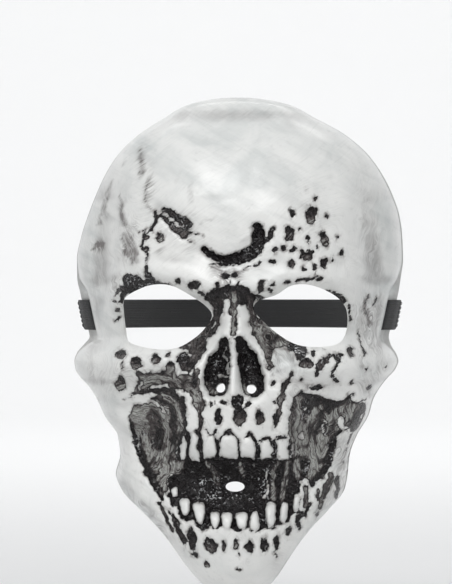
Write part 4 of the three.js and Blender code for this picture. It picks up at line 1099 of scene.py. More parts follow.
def details(x, z):
    """Fine relief in millimetres, the wash's field (1/2 on its border, 1 well inside) and the wash's
    tone, at places in the tables' plane. The ridges and teeth stand on the dark shapes: bare ones
    are taken out of the field, and the others lighten the tone."""
    wx, wz = moved(x, z, SHAPE_RIPPLES, 11)
    stains = dark_shapes(wx, wz, ripples(x, z, TONE_RIPPLES, 15))
    relief = stains.relief
    clean, light = np.zeros(np.shape(x)), np.zeros(np.shape(x))
    for ridge in RIDGES:
        gap = line_gap(wx, wz, ridge["line"], ridge["start"], ridge["end"])
        if ridge["bare"]:
            clean = np.maximum(clean, np.clip(0.5 - gap / RIDGE_EDGE, 0, 1))
        else:
            light = np.maximum(light, soft_step(0.75 - gap / RIDGE_HAZE))
        relief = relief + ridge["rise"] * soft_step(0.5 - gap / RIDGE_SLOPE)
    calmer = 0.6 * x + 0.4 * wx, 0.6 * z + 0.4 * wz
    for tooth in TEETH:
        middle, height = (tooth["top"] + tooth["bottom"]) / 2, tooth["top"] - tooth["bottom"]
        gap = oval_gap(*calmer, {**tooth, "z": middle, "height": height}, TOOTH_SQUARENESS)
        clean = np.maximum(clean, np.clip(0.5 - gap / TOOTH_EDGE, 0, 1) * (1 - tooth["grey"]))
        flat = soft_step(0.5 - gap / TOOTH_EDGE)
        crown = tooth["rise"] * (0.6 + 0.4 * soft_step(-gap / TOOTH_ROUND))
        relief = relief * (1 - flat) + flat * crown
    tone = np.clip(stains.tones / stains.weight, 0, 1) * (1 - 0.85 * light)
    return relief, np.minimum(stains.field, 1 - clean), tone


def brush_field(x, z):
    """Field whose level lines are the brush marks: the distance to the nearest brush line near it,
    and slanted straight lines elsewhere, both rippled."""
    slant = BRUSH_SLANT[0] * x + BRUSH_SLANT[1] * z + ripples(x, z, SLANT_RIPPLES, 31)
    near = np.full(np.shape(x), np.inf)
    for line in BRUSH_LINES:
        near = np.minimum(near, line_gap(x, z, line))
    near = near + ripples(x, z, BRUSH_RIPPLES, 32)
    share = soft_step((BRUSH_REACH - near) / BRUSH_TURN)
    return share * near + (1 - share) * slant


class Face:
    """The front surface of the mask, in millimetres, as a function of the front view's x and z."""

    def __init__(self, sizes):
        self.width = sizes.mask_width / MM
        self.height = sizes.mask_height / MM
        self.depth = sizes.mask_depth / MM
        self.wall = sizes.wall / MM

    def half_width(self, z, side):
        """Half the width at a height: the sections' share of the width, for the left side where
        side is negative and the right side elsewhere."""
        level = z / self.height
        return self.width * np.where(side < 0, READ["left"](level), READ["right"](level))

    def rim(self, z):
        """y of the rim: the sections' share of the depth."""
        return self.depth * READ["rim"](z / self.height)

    def foot(self, z):
        """How far the foot of the side wall spreads outwards."""
        return WEB_WIDTH * READ["foot"](z / self.height) / FOOT_SLOPE

    def dome(self, x, z):
        """Share of the depth above the foot: (1 - s^e)^(1/e), where s is x over the half width of
        the dome."""
        share = np.clip(np.abs(x) / np.maximum(self.half_width(z, x) - self.foot(z), 1e-6), 0, 1)
        edge = READ["edge"](z / self.height)
        return (1 - share**edge) ** (1 / edge)

    def plain_relief(self, x, z):
        """Sum of the mounds, each a bell of exp of minus the oval's radius to the power edge, and of
        the folds, each a bell across its line."""
        w, h = self.width, self.height
        out = np.zeros(np.shape(x))
        for boss in BOSSES:
            half = (boss["across"] * w, boss["up"] * h)
            across, up = in_oval(x, z, (boss["x"] * w, boss["z"] * h), half, boss["lean"])
            out += boss["rise"] * self.depth * np.exp(-np.hypot(across, up) ** boss["edge"])
        for fold in FOLDS:
            line = [(px * w, pz * h) for px, pz in fold["line"]]
            share = line_gap(x, z, line) / (fold["width"] * w)
            out += fold["rise"] * self.depth * np.exp(-share * share)
        return out

    def front(self, x, z, fine):
        """y of the front: the rim, less the straight foot, less the section's dome, less the
        relief, which fades out at the foot so that the outline keeps its width."""
        dome = self.dome(x, z)
        fade = soft_step(dome / RELIEF_FADE)
        foot = self.foot(z)
        on_foot = np.clip(self.half_width(z, x) - np.abs(x), 0, foot)
        body = self.rim(z) - FOOT_SLOPE * on_foot
        body = body - (self.depth * READ["deep"](z / self.height) - FOOT_SLOPE * foot) * dome
        return body - (self.plain_relief(x, z) + ripples(x, z, SHEET_RIPPLES, 41) + fine) * fade

    def seen(self, x, z):
        """Where a place of the front appears in the plane of the tables: its offsets from the line of
        sight, times the plane's distance over its own."""
        y = self.front(x, z, 0.0)
        turn = math.radians(VIEW["turn"])
        away = VIEW["away"] + y * math.cos(turn) - x * math.sin(turn)
        aside = x * math.cos(turn) + y * math.sin(turn) - VIEW["aside"]
        scale = PLANE["away"] / away
        return aside * scale + PLANE["x"], (z - VIEW["level"]) * scale + PLANE["z"]


def crowded(low, high, count, power):
    """Numbers from low to high whose spacing shrinks towards low."""
    return low + (high - low) * np.linspace(0, 1, count, endpoint=False) ** power


def grid_levels(face):
    """Heights of the grid's rows: evenly spaced in each of the face's bands, and closer together
    towards the ends of the chin and the crown."""
    chin = SECTIONS[-1]["level"] * face.height
    crown = SECTIONS[0]["level"] * face.height
    low, high = FACE_BANDS[0][0], FACE_BANDS[-1][1]
    rows = [crowded(chin + 0.02, low, CHIN_ROWS, 2.0)]
    rows += [np.linspace(bottom, top, count, endpoint=False) for bottom, top, count in FACE_BANDS]
    rows += [[high], crowded(crown - 0.02, high, CROWN_ROWS + 1, 1.5)[::-1]]
    return np.concatenate(rows)


def front_grid(face):
    """x and z of the grid over the front. Along a row, x is the dome's half width times the sine of
    an angle whose columns crowd in the middle, and the last columns step evenly over the foot."""
    t = np.pad(np.linspace(-1, 1, COLUMNS + 1 - 2 * FOOT_COLUMNS), FOOT_COLUMNS, mode="edge")
    on_foot = np.clip(np.arange(COLUMNS + 1) - COLUMNS + FOOT_COLUMNS, 0, None) / FOOT_COLUMNS
    turns, z = np.meshgrid((np.pi / 2) * (0.68 * t + 0.32 * t**3), grid_levels(face))
    foot = face.foot(z)
    return (face.half_width(z, turns) - foot) * np.sin(turns) + foot * (on_foot - on_foot[::-1]), z


def snap_to_hole(a, b, corners):
    """Moves grid points near a hole onto its outline. Gives the new a and b, and which cells of the
    grid stay: those with a corner well outside the outline."""
    gap = outline_gap(a, b, corners)
    closed = np.vstack([corners, corners[:1]])
    near_a, near_b = a.copy(), b.copy()
    best = np.full(a.shape, np.inf)
    for (pa, pb), (qa, qb) in zip(closed[:-1], closed[1:]):
        length = (qa - pa) ** 2 + (qb - pb) ** 2
        along = np.clip(((a - pa) * (qa - pa) + (b - pb) * (qb - pb)) / length, 0, 1)
        ca, cb = pa + along * (qa - pa), pb + along * (qb - pb)
        away = np.hypot(a - ca, b - cb)
        closer = away < best
        best = np.where(closer, away, best)
        near_a = np.where(closer, ca, near_a)
        near_b = np.where(closer, cb, near_b)
    outside = gap > 0.3 * CELL
    cells = outside[:-1, :-1] | outside[1:, :-1] | outside[:-1, 1:] | outside[1:, 1:]
    used = np.zeros(a.shape, bool)
    used[:-1, :-1] |= cells
    used[1:, :-1] |= cells
    used[:-1, 1:] |= cells
    used[1:, 1:] |= cells
    move = used & ~outside
    return np.where(move, near_a, a), np.where(move, near_b, b), cells


def cut_front_holes(x, z):
    """Cuts the eyes, the mouth slot and the nostrils out of the grid."""
    keep = np.ones((x.shape[0] - 1, x.shape[1] - 1), bool)
    holes = [rounded(EYE_LEFT), rounded(EYE_RIGHT), oval_corners(*MOUTH_SLOT)]
    holes += [oval_corners(px, pz, NOSTRIL_SIZE, NOSTRIL_SIZE, 20) for px, pz in NOSTRILS]
    for corners in holes:
        x, z, cells = snap_to_hole(x, z, corners)
        keep &= cells
    return x, z, keep


def cut_strap_slots(face, x, y, z, keep):
    """Cuts the two strap slots, long holes with round ends seen from the side, out of the grid."""
    round_end = SLOT_WIDTH / 2
    middle = face.rim(0.0) - WEB_WIDTH - round_end
    ends = np.linspace(0, np.pi, 9)
    top = np.c_[middle + round_end * np.cos(ends), SLOT_LENGTH / 2 - round_end + round_end * np.sin(ends)]
    slot = np.vstack([top, np.c_[top[::-1, 0], -top[::-1, 1]]])
    for side in (-1, 1):
        half = slice(0, SIDE_COLUMNS) if side < 0 else slice(COLUMNS + 1 - SIDE_COLUMNS, COLUMNS + 1)
        new_y, new_z, cells = snap_to_hole(y[:, half], z[:, half], slot)
        scale = face.half_width(new_z, side) / np.maximum(face.half_width(z[:, half], side), 1e-6)
        x[:, half] = x[:, half] * scale
        y[:, half], z[:, half] = new_y, new_z
        keep[:, half.start : half.stop - 1] &= cells


def unit_normals(points):
    """Unit normals of a grid of points, from the cross product of its two difference vectors."""
    across = np.gradient(points, axis=1)
    down = np.gradient(points, axis=0)
    normal = np.cross(across, down)
    return normal / np.maximum(np.linalg.norm(normal, axis=2, keepdims=True), 1e-9)


def blurred(values, times):
    """Grid values averaged with their four neighbours a number of times."""
    for _ in range(times):
        padded = np.pad(values, ((1, 1), (1, 1), (0, 0)), mode="edge")
        values = 0.5 * values + 0.125 * (
            padded[:-2, 1:-1] + padded[2:, 1:-1] + padded[1:-1, :-2] + padded[1:-1, 2:]
        )
    return values


def inner_grid(face, outer, calm):
    """The outer grid moved inwards by the wall, along the normals of the calmed front. They turn
    sideways at the rim, and down and up at the two ends."""
    x, y, z = np.moveaxis(outer, 2, 0)
    normal = unit_normals(blurred(calm, 2))
    normal = normal * np.where(normal[..., 1:2] > 0, -1.0, 1.0)
    sideways = np.zeros_like(normal)
    sideways[..., 0] = np.sign(x)
    near_rim = soft_step(1 - (face.rim(z) - y) / (2 * face.wall))[..., None]
    normal = normal * (1 - near_rim) + sideways * near_rim
    normal /= np.linalg.norm(normal, axis=2, keepdims=True)
    normal[0] = (0, 0, -1)
    normal[-1] = (0, 0, 1)
    return outer - face.wall * normal


def sheet_faces(keep, count):
    """Faces of the kept cells in the outer grid and, turned round, in the inner grid, whose vertices
    come count later, and the strip that joins the two along every edge that has one face."""
    rows, columns = keep.shape[0] + 1, keep.shape[1] + 1
    index = np.arange(count).reshape(rows, columns)
    a, b = index[:-1, :-1][keep], index[:-1, 1:][keep]
    c, d = index[1:, 1:][keep], index[1:, :-1][keep]
    front = np.c_[a, b, c, d]
    edges = np.vstack([np.c_[a, b], np.c_[b, c], np.c_[c, d], np.c_[d, a]])
    key = edges[:, 0].astype(np.int64) * count + edges[:, 1]
    reverse = edges[:, 1].astype(np.int64) * count + edges[:, 0]
    border = edges[~np.isin(key, reverse)]
    strip = np.c_[border[:, 1], border[:, 0], border[:, 0] + count, border[:, 1] + count]
    return np.vstack([front, front[:, ::-1] + count, strip]), strip


def sharpen(mesh, *pairs):
    """Marks the edges between the given pairs of vertices as sharp."""
    ends = np.zeros(len(mesh.edges) * 2, np.int32)
    mesh.edges.foreach_get("vertices", ends)
    ends = np.sort(ends.reshape(-1, 2), axis=1).astype(np.int64)
    wanted = np.sort(np.vstack(pairs), axis=1).astype(np.int64)
    size = len(mesh.vertices)
    sharp = np.isin(ends[:, 0] * size + ends[:, 1], wanted[:, 0] * size + wanted[:, 1])
    layer = mesh.attributes.new("sharp_edge", "BOOLEAN", "EDGE")
    layer.data.foreach_set("value", sharp)


def mesh_object(name, vertices, faces, layers=None, uv=None):
    """Makes an object of a mesh in metres, with float layers on its vertices and a UV map given
    per vertex."""
    mesh = bpy.data.meshes.new(name)
    mesh.from_pydata(np.asarray(vertices).tolist(), [], [list(f) for f in faces])
    mesh.update()
    mesh.polygons.foreach_set("use_smooth", np.ones(len(mesh.polygons), bool))
    for key, values in (layers or {}).items():
        layer = mesh.attributes.new(key, "FLOAT", "POINT")
        layer.data.foreach_set("value", np.asarray(values, np.float32).ravel())
    if uv is not None:
        loops = np.zeros(len(mesh.loops), np.int32)
        mesh.loops.foreach_get("vertex_index", loops)
        layer = mesh.uv_layers.new(name="Surface")
        layer.data.foreach_set("uv", np.asarray(uv, np.float32)[loops].ravel())
    made = bpy.data.objects.new(name, mesh)
    bpy.context.scene.collection.objects.link(made)
    return made


def shell_mesh(sizes):
    """The formed sheet: a grid over the front, cut open at the holes, the same grid moved inwards
    by the wall, and a strip between them along the rim and round each hole. The layers hold what
    the paint needs. Hollow is how far the front lies behind its own blurred form."""
    face = Face(sizes)
    x, z, keep = cut_front_holes(*front_grid(face))
    seen = face.seen(x, z)
    fine, ink, tone = details(*seen)
    ink = ink * soft_step((face.dome(x, z) - WASH_GONE) / WASH_FADE)
    y = face.front(x, z, fine)
    cut_strap_slots(face, x, y, z, keep)

    outer = np.stack([x, y, z], axis=2)
    calm = np.stack([x, face.front(x, z, blurred(fine[..., None], CALM_BLUR)[..., 0]), z], axis=2)
    points = np.vstack([outer.reshape(-1, 3), inner_grid(face, outer, calm).reshape(-1, 3)]) * MM
    faces, strip = sheet_faces(keep, x.size)
    used = np.unique(faces)
    remap = np.zeros(len(points), np.int64)
    remap[used] = np.arange(len(used))

    hollow = np.clip((calm[..., 1] - blurred(calm, HOLLOW_BLUR)[..., 1]) / HOLLOW_DEPTH, 0, 1)
    # Among these layers, the glints mark painted highlights and the tints mark painted shade.
    fields = {
        "ink": ink,
        "smudge": soft_spots(*seen, SMUDGES),
        "painted_glint": soft_spots(*seen, PAINTED_GLINTS),
        "painted_shade": soft_spots(*seen, PAINTED_SHADES),
        "dab": wisps(*seen),
        "hollow": blurred(hollow[..., None], 2),
    }
    layers = {key: np.append(field, np.zeros(x.size)) for key, field in fields.items()}
    layers["tone"] = np.append(tone, np.ones(x.size))
    layers["brush"] = np.tile(brush_field(*seen).ravel(), 2)
    layers = {key: values[used] for key, values in layers.items()}
    made = mesh_object("painted_shell", points[used], remap[faces], layers)
    sharpen(made.data, remap[strip[:, :2]], remap[strip[:, 2:]])
    return made


class Flow:
    """One output socket of a material. Arithmetic on it adds Math nodes."""

    def __init__(self, finish, socket):
        self.finish = finish
        self.socket = socket

    def math(self, operation, *others, clamp=False):
        """Math node on this socket and the others."""
        settings = {"operation": operation, "use_clamp": clamp}
        inputs = dict(enumerate((self, *others)))
        return self.finish.add("ShaderNodeMath", settings, inputs)

    def __add__(self, other):
        return self.math("ADD", other)

    __radd__ = __add__

    def __sub__(self, other):
        return self.math("SUBTRACT", other)

    def __rsub__(self, other):
        return self.finish.add("ShaderNodeMath", {"operation": "SUBTRACT"}, {0: other, 1: self})

    def __mul__(self, other):
        return self.math("MULTIPLY", other)

    __rmul__ = __mul__

    def clamped(self):
        """The same value, kept between 0 and 1."""
        return self.math("ADD", 0.0, clamp=True)

    def step(self, low, high):
        """Smooth step from 0 at low to 1 at high."""
        settings = {"interpolation_type": "SMOOTHSTEP"}
        inputs = {"Value": self, "From Min": low, "From Max": high, "To Min": 0.0, "To Max": 1.0}
        return self.finish.add("ShaderNodeMapRange", settings, inputs)


class Finish:
    """A material whose nodes are added by expressions."""

    def __init__(self, name):
        self.material = bpy.data.materials.new(name)
        self.material.use_nodes = True
        self.tree = self.material.node_tree
        self.tree.nodes.clear()

    def add(self, kind, settings=None, inputs=None, output=0):
        """Adds a node of a kind, with its settings first, then its sockets' values or links."""
        node = self.tree.nodes.new(kind)
        for key, value in (settings or {}).items():
            setattr(node, key, value)
        for key, value in (inputs or {}).items():
            if isinstance(value, Flow):
                self.tree.links.new(value.socket, node.inputs[key])
            else:
                node.inputs[key].default_value = value
        return Flow(self, node.outputs[output]) if len(node.outputs) else None

    def layer(self, name):
        """Value of a layer of the mesh."""
        return self.add("ShaderNodeAttribute", {"attribute_name": name}, output="Fac")

    def place(self, output="Object"):
        """Coordinates in metres on the object, or those of its UV map."""
        return self.add("ShaderNodeTexCoord", output=output)

    def vector(self, x, y, z):
        """Vector of three numbers."""
        return self.add("ShaderNodeCombineXYZ", inputs={"X": x, "Y": y, "Z": z})

    def parts(self, vector):
        """The three numbers of a vector."""
        first = self.add("ShaderNodeSeparateXYZ", inputs={"Vector": vector})
        return [Flow(self, socket) for socket in first.socket.node.outputs]

    def noise(self, vector, scale, detail=3.0, roughness=0.55, distortion=0.0):
        """Random field between 0 and 1, with scale lumps for each unit of the vector."""
        inputs = {
            "Vector": vector,
            "Scale": scale,
            "Detail": detail,
            "Roughness": roughness,
            "Distortion": distortion,
        }
        return self.add("ShaderNodeTexNoise", inputs=inputs, output="Fac")

    def blend(self, factor, first, second):
        """Colour mix of two colours by a factor."""
        settings = {"data_type": "RGBA", "blend_type": "MIX"}
        return self.add("ShaderNodeMix", settings, {0: factor, 6: first, 7: second}, output=2)

    def bump(self, height, strength, distance):
        """Normal of a surface raised by the height times the distance."""
        inputs = {"Height": height, "Strength": strength, "Distance": distance}
        return self.add("ShaderNodeBump", inputs=inputs)

    def surface(self, **sockets):
        """Ends the material with a Principled BSDF whose sockets are given by name."""
        named = {key.replace("_", " "): value for key, value in sockets.items()}
        shader = self.add("ShaderNodeBsdfPrincipled", inputs=named)
        self.add("ShaderNodeOutputMaterial", inputs={"Surface": shader})
        return self.material


def rgba(colour, factor=1.0):
    """A colour times a factor, with full opacity."""
    return (colour[0] * factor, colour[1] * factor, colour[2] * factor, 1.0)


def painted_plastic(colours):
    """Glossy white sheet with a black wash: solid in the hollows, rubbed to streaks where its tone is low,
    ragged at its borders with a thin brown edge, and grey brush marks over the white. Light specks are
    painted on the crumpled wash as painted highlights, and the sheet's sides and crown are painted bluish
    grey as painted shade."""
    finish = Finish("painted_plastic")
    place = finish.place()
    x, _, z = finish.parts(place)
    ink, tone = finish.layer("ink"), finish.layer("tone")
    smudge, brush, hollow = finish.layer("smudge"), finish.layer("brush"), finish.layer("hollow")
    # The glint layer marks painted highlights, and the tint layer marks painted shade.
    painted_glint, painted_shade, dab = (finish.layer(name).clamped() for name in ("painted_glint", "painted_shade", "dab"))

    # Random fields on the surface, then streaks that are long along the brush marks.
    speck = finish.noise(place, 1000.0, 3.0, 0.65)
    blot = finish.noise(place, 300.0, 3.0, 0.6)
    cloud = finish.noise(place, 45.0, 3.0, 0.55, 0.6)
    crumple = finish.noise(place, 560.0, 2.0, 0.5, 0.8)
    swell = finish.noise(place, 120.0, 2.0, 0.5)
    marks = finish.vector(brush * 0.8, x * 70.0, z * 70.0)
    streak = finish.noise(marks, 1.0, 4.0, 0.65, 0.5)
    fine_marks = finish.vector(brush * 2.2, x * 110.0, z * 110.0)
    fine_streak = finish.noise(fine_marks, 1.0, 3.0, 0.6, 0.3)
    sweep = finish.noise(finish.vector(x * 16.0 + z * 30.0, x * 5.0 - z * 3.0, 0.5), 4.0, 5.0, 0.62, 0.5)

    # The wash: where it lies, its fringe, and where it is rubbed, worn or scratched. Bare specks on the
    # crumple's peaks are partly worn sheet and partly painted highlights, and the sparks are painted
    # highlights where the wash glints.
    border = ink + (speck - 0.5) * 0.36 + (blot - 0.5) * 0.3 + (fine_streak - 0.5) * 0.14
    mask = border.step(0.45, 0.56)
    fringe = (ink.step(0.06, 0.5) * (1.0 - mask) * (blot.step(0.42, 0.66) * 0.6 + 0.12)).clamped()
    deep = ink.step(0.52, 0.76)
    patchy = (0.25 + streak.step(0.38, 0.58)) * (0.65 + 0.6 * blot.step(0.38, 0.62))
    loose = ((1.0 - tone) * deep * patchy).clamped()
    rubbed = loose.step(0.04, 0.42)
    pale = loose.step(0.3, 0.8) * (0.35 + 0.75 * fine_streak.step(0.4, 0.58))
    scratch = (1.0 - tone) * deep * fine_streak.step(0.54, 0.66) * 0.7
    # Bare specks on the crumple's peaks: partly worn sheet, partly painted highlights where the glossy
    # wash would sparkle.
    bare = mask * crumple.step(0.6, 0.68) * blot.step(0.46, 0.62) * (0.5 - 0.3 * painted_glint)
    # Painted highlights: light specks painted on the wash where the glint layer says it glints.
    painted_spark = mask * painted_glint * crumple.step(0.54, 0.59) * speck.step(0.46, 0.56)

    # Grey over the white: smudges, dabs, creases and a haze of sweeps and mottling.
    lines = streak.step(0.34, 0.64) * 0.75 + fine_streak.step(0.5, 0.62) * 0.5
    thin = smudge * lines * 1.7
    crease = hollow * (0.25 + streak * 0.8)
    dabs = dab * (0.35 + 0.5 * blot.step(0.36, 0.6) + 0.45 * fine_streak.step(0.38, 0.6))
    grey = (thin + dabs + crease * 0.6).clamped()
    mottle = blot.step(0.5, 0.74) * streak.step(0.42, 0.62)
    haze = (sweep.step(0.44, 0.78) * 0.3 + fine_streak.step(0.5, 0.75) * 0.2 + mottle * 0.3).clamped()

    white = finish.blend(haze, rgba(colours.plastic), rgba(colours.plastic, 0.6))
    # Random cloudy mottling, and painted shade: bluish grey where the tint layer marks sides, jaw and
    # crown turning from the light.
    mottle_and_shade = cloud.step(0.42, 0.7) * (0.2 + 0.35 * painted_shade) + painted_shade * (0.3 + 0.5 * sweep.step(0.4, 0.7))
    mottled_and_shaded = finish.blend(mottle_and_shade.clamped(), white, rgba(colours.mottle_and_shade_tint))
    toned = finish.blend(grey * 0.9, mottled_and_shaded, rgba(colours.thin_wash, 1.3))
    edged = finish.blend(fringe, toned, rgba(colours.wash_edge))
    black = finish.blend(cloud * 0.6, rgba(colours.wash), rgba(colours.wash, 2.4))
    wash = finish.blend(rubbed, black, rgba(colours.thin_wash))
    wash = finish.blend(pale, wash, rgba(colours.worn_wash))
    wash = finish.blend((scratch + bare).clamped(), wash, rgba(colours.scratches_and_sheen))
    wash = finish.blend(painted_spark, wash, rgba(colours.painted_sparks))

    height = (swell - 0.5) * 0.4 + mask * (crumple - 0.5) * 2.6 - mask * 0.35 + (fine_streak - 0.5) * 0.1
    return finish.surface(
        Base_Color=finish.blend(mask, edged, wash),
        Roughness=colours.gloss - mask * 0.08 + mask * (speck - 0.5) * 0.15 + grey * 0.1,
        Normal=finish.bump(height, 1.0, 0.001),
        IOR=1.42,
        Coat_Weight=0.35 * (1.0 - mask),
        Coat_Roughness=0.2,
    )


def side_place(face, y):
    """x of the right side wall at a place back along Y, at the level of the slots."""
    x = np.linspace(0.8, 1.0, 4001) * float(face.half_width(np.array(0.0), np.array(1.0)))
    front = face.front(x, np.zeros_like(x), np.zeros_like(x))
    return float(np.interp(y, front, x))


def path_frame(path):
    """Distance run along a path in plan, its unit direction, and the unit normal on its right."""
    step = np.gradient(path, axis=0)
    step /= np.linalg.norm(step, axis=1, keepdims=True)
    run = np.concatenate([[0], np.cumsum(np.linalg.norm(np.diff(path, axis=0), axis=1))])
    return run, step, np.c_[step[:, 1], -step[:, 0]]


def evened(points, spacing):
    """Points on the same line at an even spacing, after a light smoothing."""
    for _ in range(6):
        points = np.vstack([points[:1], (points[:-2] + 2 * points[1:-1] + points[2:]) / 4, points[-1:]])
    run = np.concatenate([[0], np.cumsum(np.linalg.norm(np.diff(points, axis=0), axis=1))])
    at = np.linspace(0, run[-1], int(run[-1] / spacing) + 1)
    return np.c_[np.interp(at, run, points[:, 0]), np.interp(at, run, points[:, 1])]


def strap_path(sizes, face):
    """Middle line of the right half of the elastic in plan: the sewn tail inside, the loop round the
    web, and the single band, an arc of an ellipse, to the middle of the back."""
    t = sizes.band_thickness / MM
    web_back = float(face.rim(0.0))
    web_front = web_back - WEB_WIDTH
    wall_front = side_place(face, web_front)
    wall_back = side_place(face, web_back)
    along = np.array([wall_back - wall_front, WEB_WIDTH])
    along = along / np.linalg.norm(along)
    out = np.array([along[1], -along[0]])
    middle = np.array([wall_front, web_front]) - out * face.wall / 2
    half = face.wall / 2 + sizes.band_clearance / MM + t / 2

    start = middle + along * (LOOP_REACH + half - t / 2)
    wide = start[0] + sizes.head_spread / MM
    length = sizes.head_length / MM
    tilt = math.acos(start[0] / wide)
    centre = (start[1] + length * math.sin(tilt)) / (1 + math.sin(tilt))
    turn = np.linspace(-tilt, np.pi / 2, 120)
    line = np.c_[wide * np.cos(turn), centre + (length - centre) * np.sin(turn)]
    run, _, side = path_frame(line)
    sewn = sizes.sewn_length / MM

    tail = run <= sewn
    inner = line[tail] - side[tail] * t / 2
    ease = soft_step((sewn + MEETING_LENGTH - run) / MEETING_LENGTH)
    outer = line + side * (t / 2) * ease[:, None]
    bend = np.linspace(0, np.pi, 16)
    front = middle + along * (-half * np.sin(bend))[:, None] + out * (-half * np.cos(bend))[:, None]
    reach = np.linspace(LAYER_START, LOOP_REACH - LAYER_END, 10)[:, None]
    inside = middle - out * half + along * reach[::-1]
    outside = middle + out * half + along * reach
    points = np.vstack([inner[::-1], inside, front[1:-1], outside, outer])
    return evened(points, PATH_SPACING)


def with_lean(sizes, face, x, y, z):
    """x leaned outwards with the side wall's slope over the strap's width, which eases out towards
    the back of the strap."""
    half = sizes.band_width / MM / 2
    one = np.array(1.0)
    lean = float(face.half_width(np.array(half), one) - face.half_width(np.array(-half), one)) / (2 * half)
    ease = 1 - soft_step(y / (LEAN_SHARE * sizes.head_length / MM))
    return x + np.sign(x) * lean * ease * z


def tube_faces(index):
    """Faces of a grid of vertices that is closed along its second direction, with a cap at each
    end."""
    after = np.roll(index, -1, axis=1)
    quads = np.stack([index[:-1], index[1:], after[1:], after[:-1]], axis=2).reshape(-1, 4)
    return quads.tolist() + [index[0].tolist(), index[-1][::-1].tolist()]


def strap_mesh(sizes):
    """The elastic: a rounded flat profile carried along the strap's path. The profile's half
    thickness across its width is (1 - s^8)^(1/2) with a cosine's ribs, and another cosine beats
    along the strap. Near the slots it leans with the side wall."""
    face = Face(sizes)
    half = strap_path(sizes, face)
    path = np.vstack([half, np.c_[-half[-2::-1, 0], half[-2::-1, 1]]])
    run, _, normal = path_frame(path)

    across = np.linspace(-1, 1, 31)
    bulge = np.sqrt(np.clip(1 - np.abs(across) ** 8, 0, 1))
    rib = RIB_HEIGHT * np.cos(across * np.pi * RIBS)
    thick = bulge * (sizes.band_thickness / MM / 2 + rib)
    up = np.concatenate([across, across[-2:0:-1]]) * (sizes.band_width / MM / 2)
    waves = BEAT_SHARE * np.cos(run[:, None] * 2 * np.pi / BEAT_LENGTH)
    offset = np.concatenate([thick, -thick[-2:0:-1]])[None, :] * (1 + waves)
    xy = path[:, None, :] + normal[:, None, :] * offset[..., None]
    z = np.broadcast_to(up, offset.shape)
    x = with_lean(sizes, face, xy[..., 0], xy[..., 1], z)
    points = np.stack([x, xy[..., 1], z], axis=2) * MM

    faces = tube_faces(np.arange(offset.size).reshape(offset.shape))
    uv = np.stack([np.broadcast_to(run[:, None], offset.shape), z], axis=2)
    return mesh_object("woven_strap", points.reshape(-1, 3), faces, uv=uv.reshape(-1, 2))


def woven_elastic(colours):
    """Matt black elastic: ribs along the strap, crossed by the fine beat of the weave."""
    finish = Finish("woven_elastic")
    run, up, _ = finish.parts(finish.place("UV"))
    ribs = (up * (2 * math.pi / FINE_RIB)).math("SINE")
    beat = (run * (2 * math.pi / FINE_BEAT)).math("SINE")
    weave = ribs * 0.6 + beat * ribs.math("SIGN") * 0.4
    fuzz = finish.noise(finish.place(), 2500.0, 2.0, 0.6)
    tone = (weave * 0.25 + 0.5 + (fuzz - 0.5) * 0.6).clamped()
    return finish.surface(
        Base_Color=finish.blend(tone, rgba(colours.elastic, 0.6), rgba(colours.elastic, 2.2)),
        Roughness=0.78 + (fuzz - 0.5) * 0.2,
        Normal=finish.bump(weave + fuzz * 0.5, 0.7, 0.0002),
        Sheen_Weight=0.25,
        Sheen_Roughness=0.5,
    )


def stitch_mesh(sizes):
    """Two rows of sewing across each doubled end: every stitch is a small bent tube, a profile of
    six sides carried over a half sine that stands on the strap's outer face."""
    face = Face(sizes)
    path = strap_path(sizes, face)
    run, step, normal = path_frame(path)
    outer_end = 2 * sizes.sewn_length / MM + LOOP_LENGTH
    points, faces = [], []
    s = np.linspace(0, 1, 7)
    ring = np.linspace(0, 2 * np.pi, 6, endpoint=False)
    radius = STITCH["radius"]
    lift = sizes.band_thickness / MM / 2 + STITCH["lift"] + STITCH["bend"] * np.sin(np.pi * s)
    for row in SEWING_ROWS:
        i = int(np.argmin(np.abs(run - (outer_end - row))))
        centre = path[i] + normal[i] * lift[:, None]
        x = centre[:, None, 0] + radius * (np.cos(ring) * normal[i, 0] + np.sin(ring) * step[i, 0])
        y = centre[:, None, 1] + radius * (np.cos(ring) * normal[i, 1] + np.sin(ring) * step[i, 1])
        for k in range(STITCHES):
            up = STITCH["first"] + k * STITCH["spacing"] + STITCH["length"] * s
            z = np.broadcast_to(up[:, None], x.shape)
            leaned = with_lean(sizes, face, x, y, z)
            for side in (1, -1):
                index = len(points) * x.size + np.arange(x.size).reshape(x.shape)
                points.append(np.stack([side * leaned, y, z], axis=2).reshape(-1, 3))
                tube = [corners[:1] + corners[:0:-1] for corners in tube_faces(index)]
                faces += tube if side > 0 else [corners[::-1] for corners in tube]
    return mesh_object("strap_stitching", np.vstack(points) * MM, faces)


def sewing_thread(colours):
    """Black polyester thread with a faint twist."""
    finish = Finish("sewing_thread")
    x, y, z = finish.parts(finish.place())
    twist = ((z * 9000.0) + (x + y) * 5000.0).math("SINE")
    colour = finish.blend((twist * 0.5 + 0.5).clamped(), rgba(colours.elastic), rgba(colours.elastic, 3.0))
    return finish.surface(Base_Color=colour, Roughness=0.55, Normal=finish.bump(twist, 0.5, 0.0001))


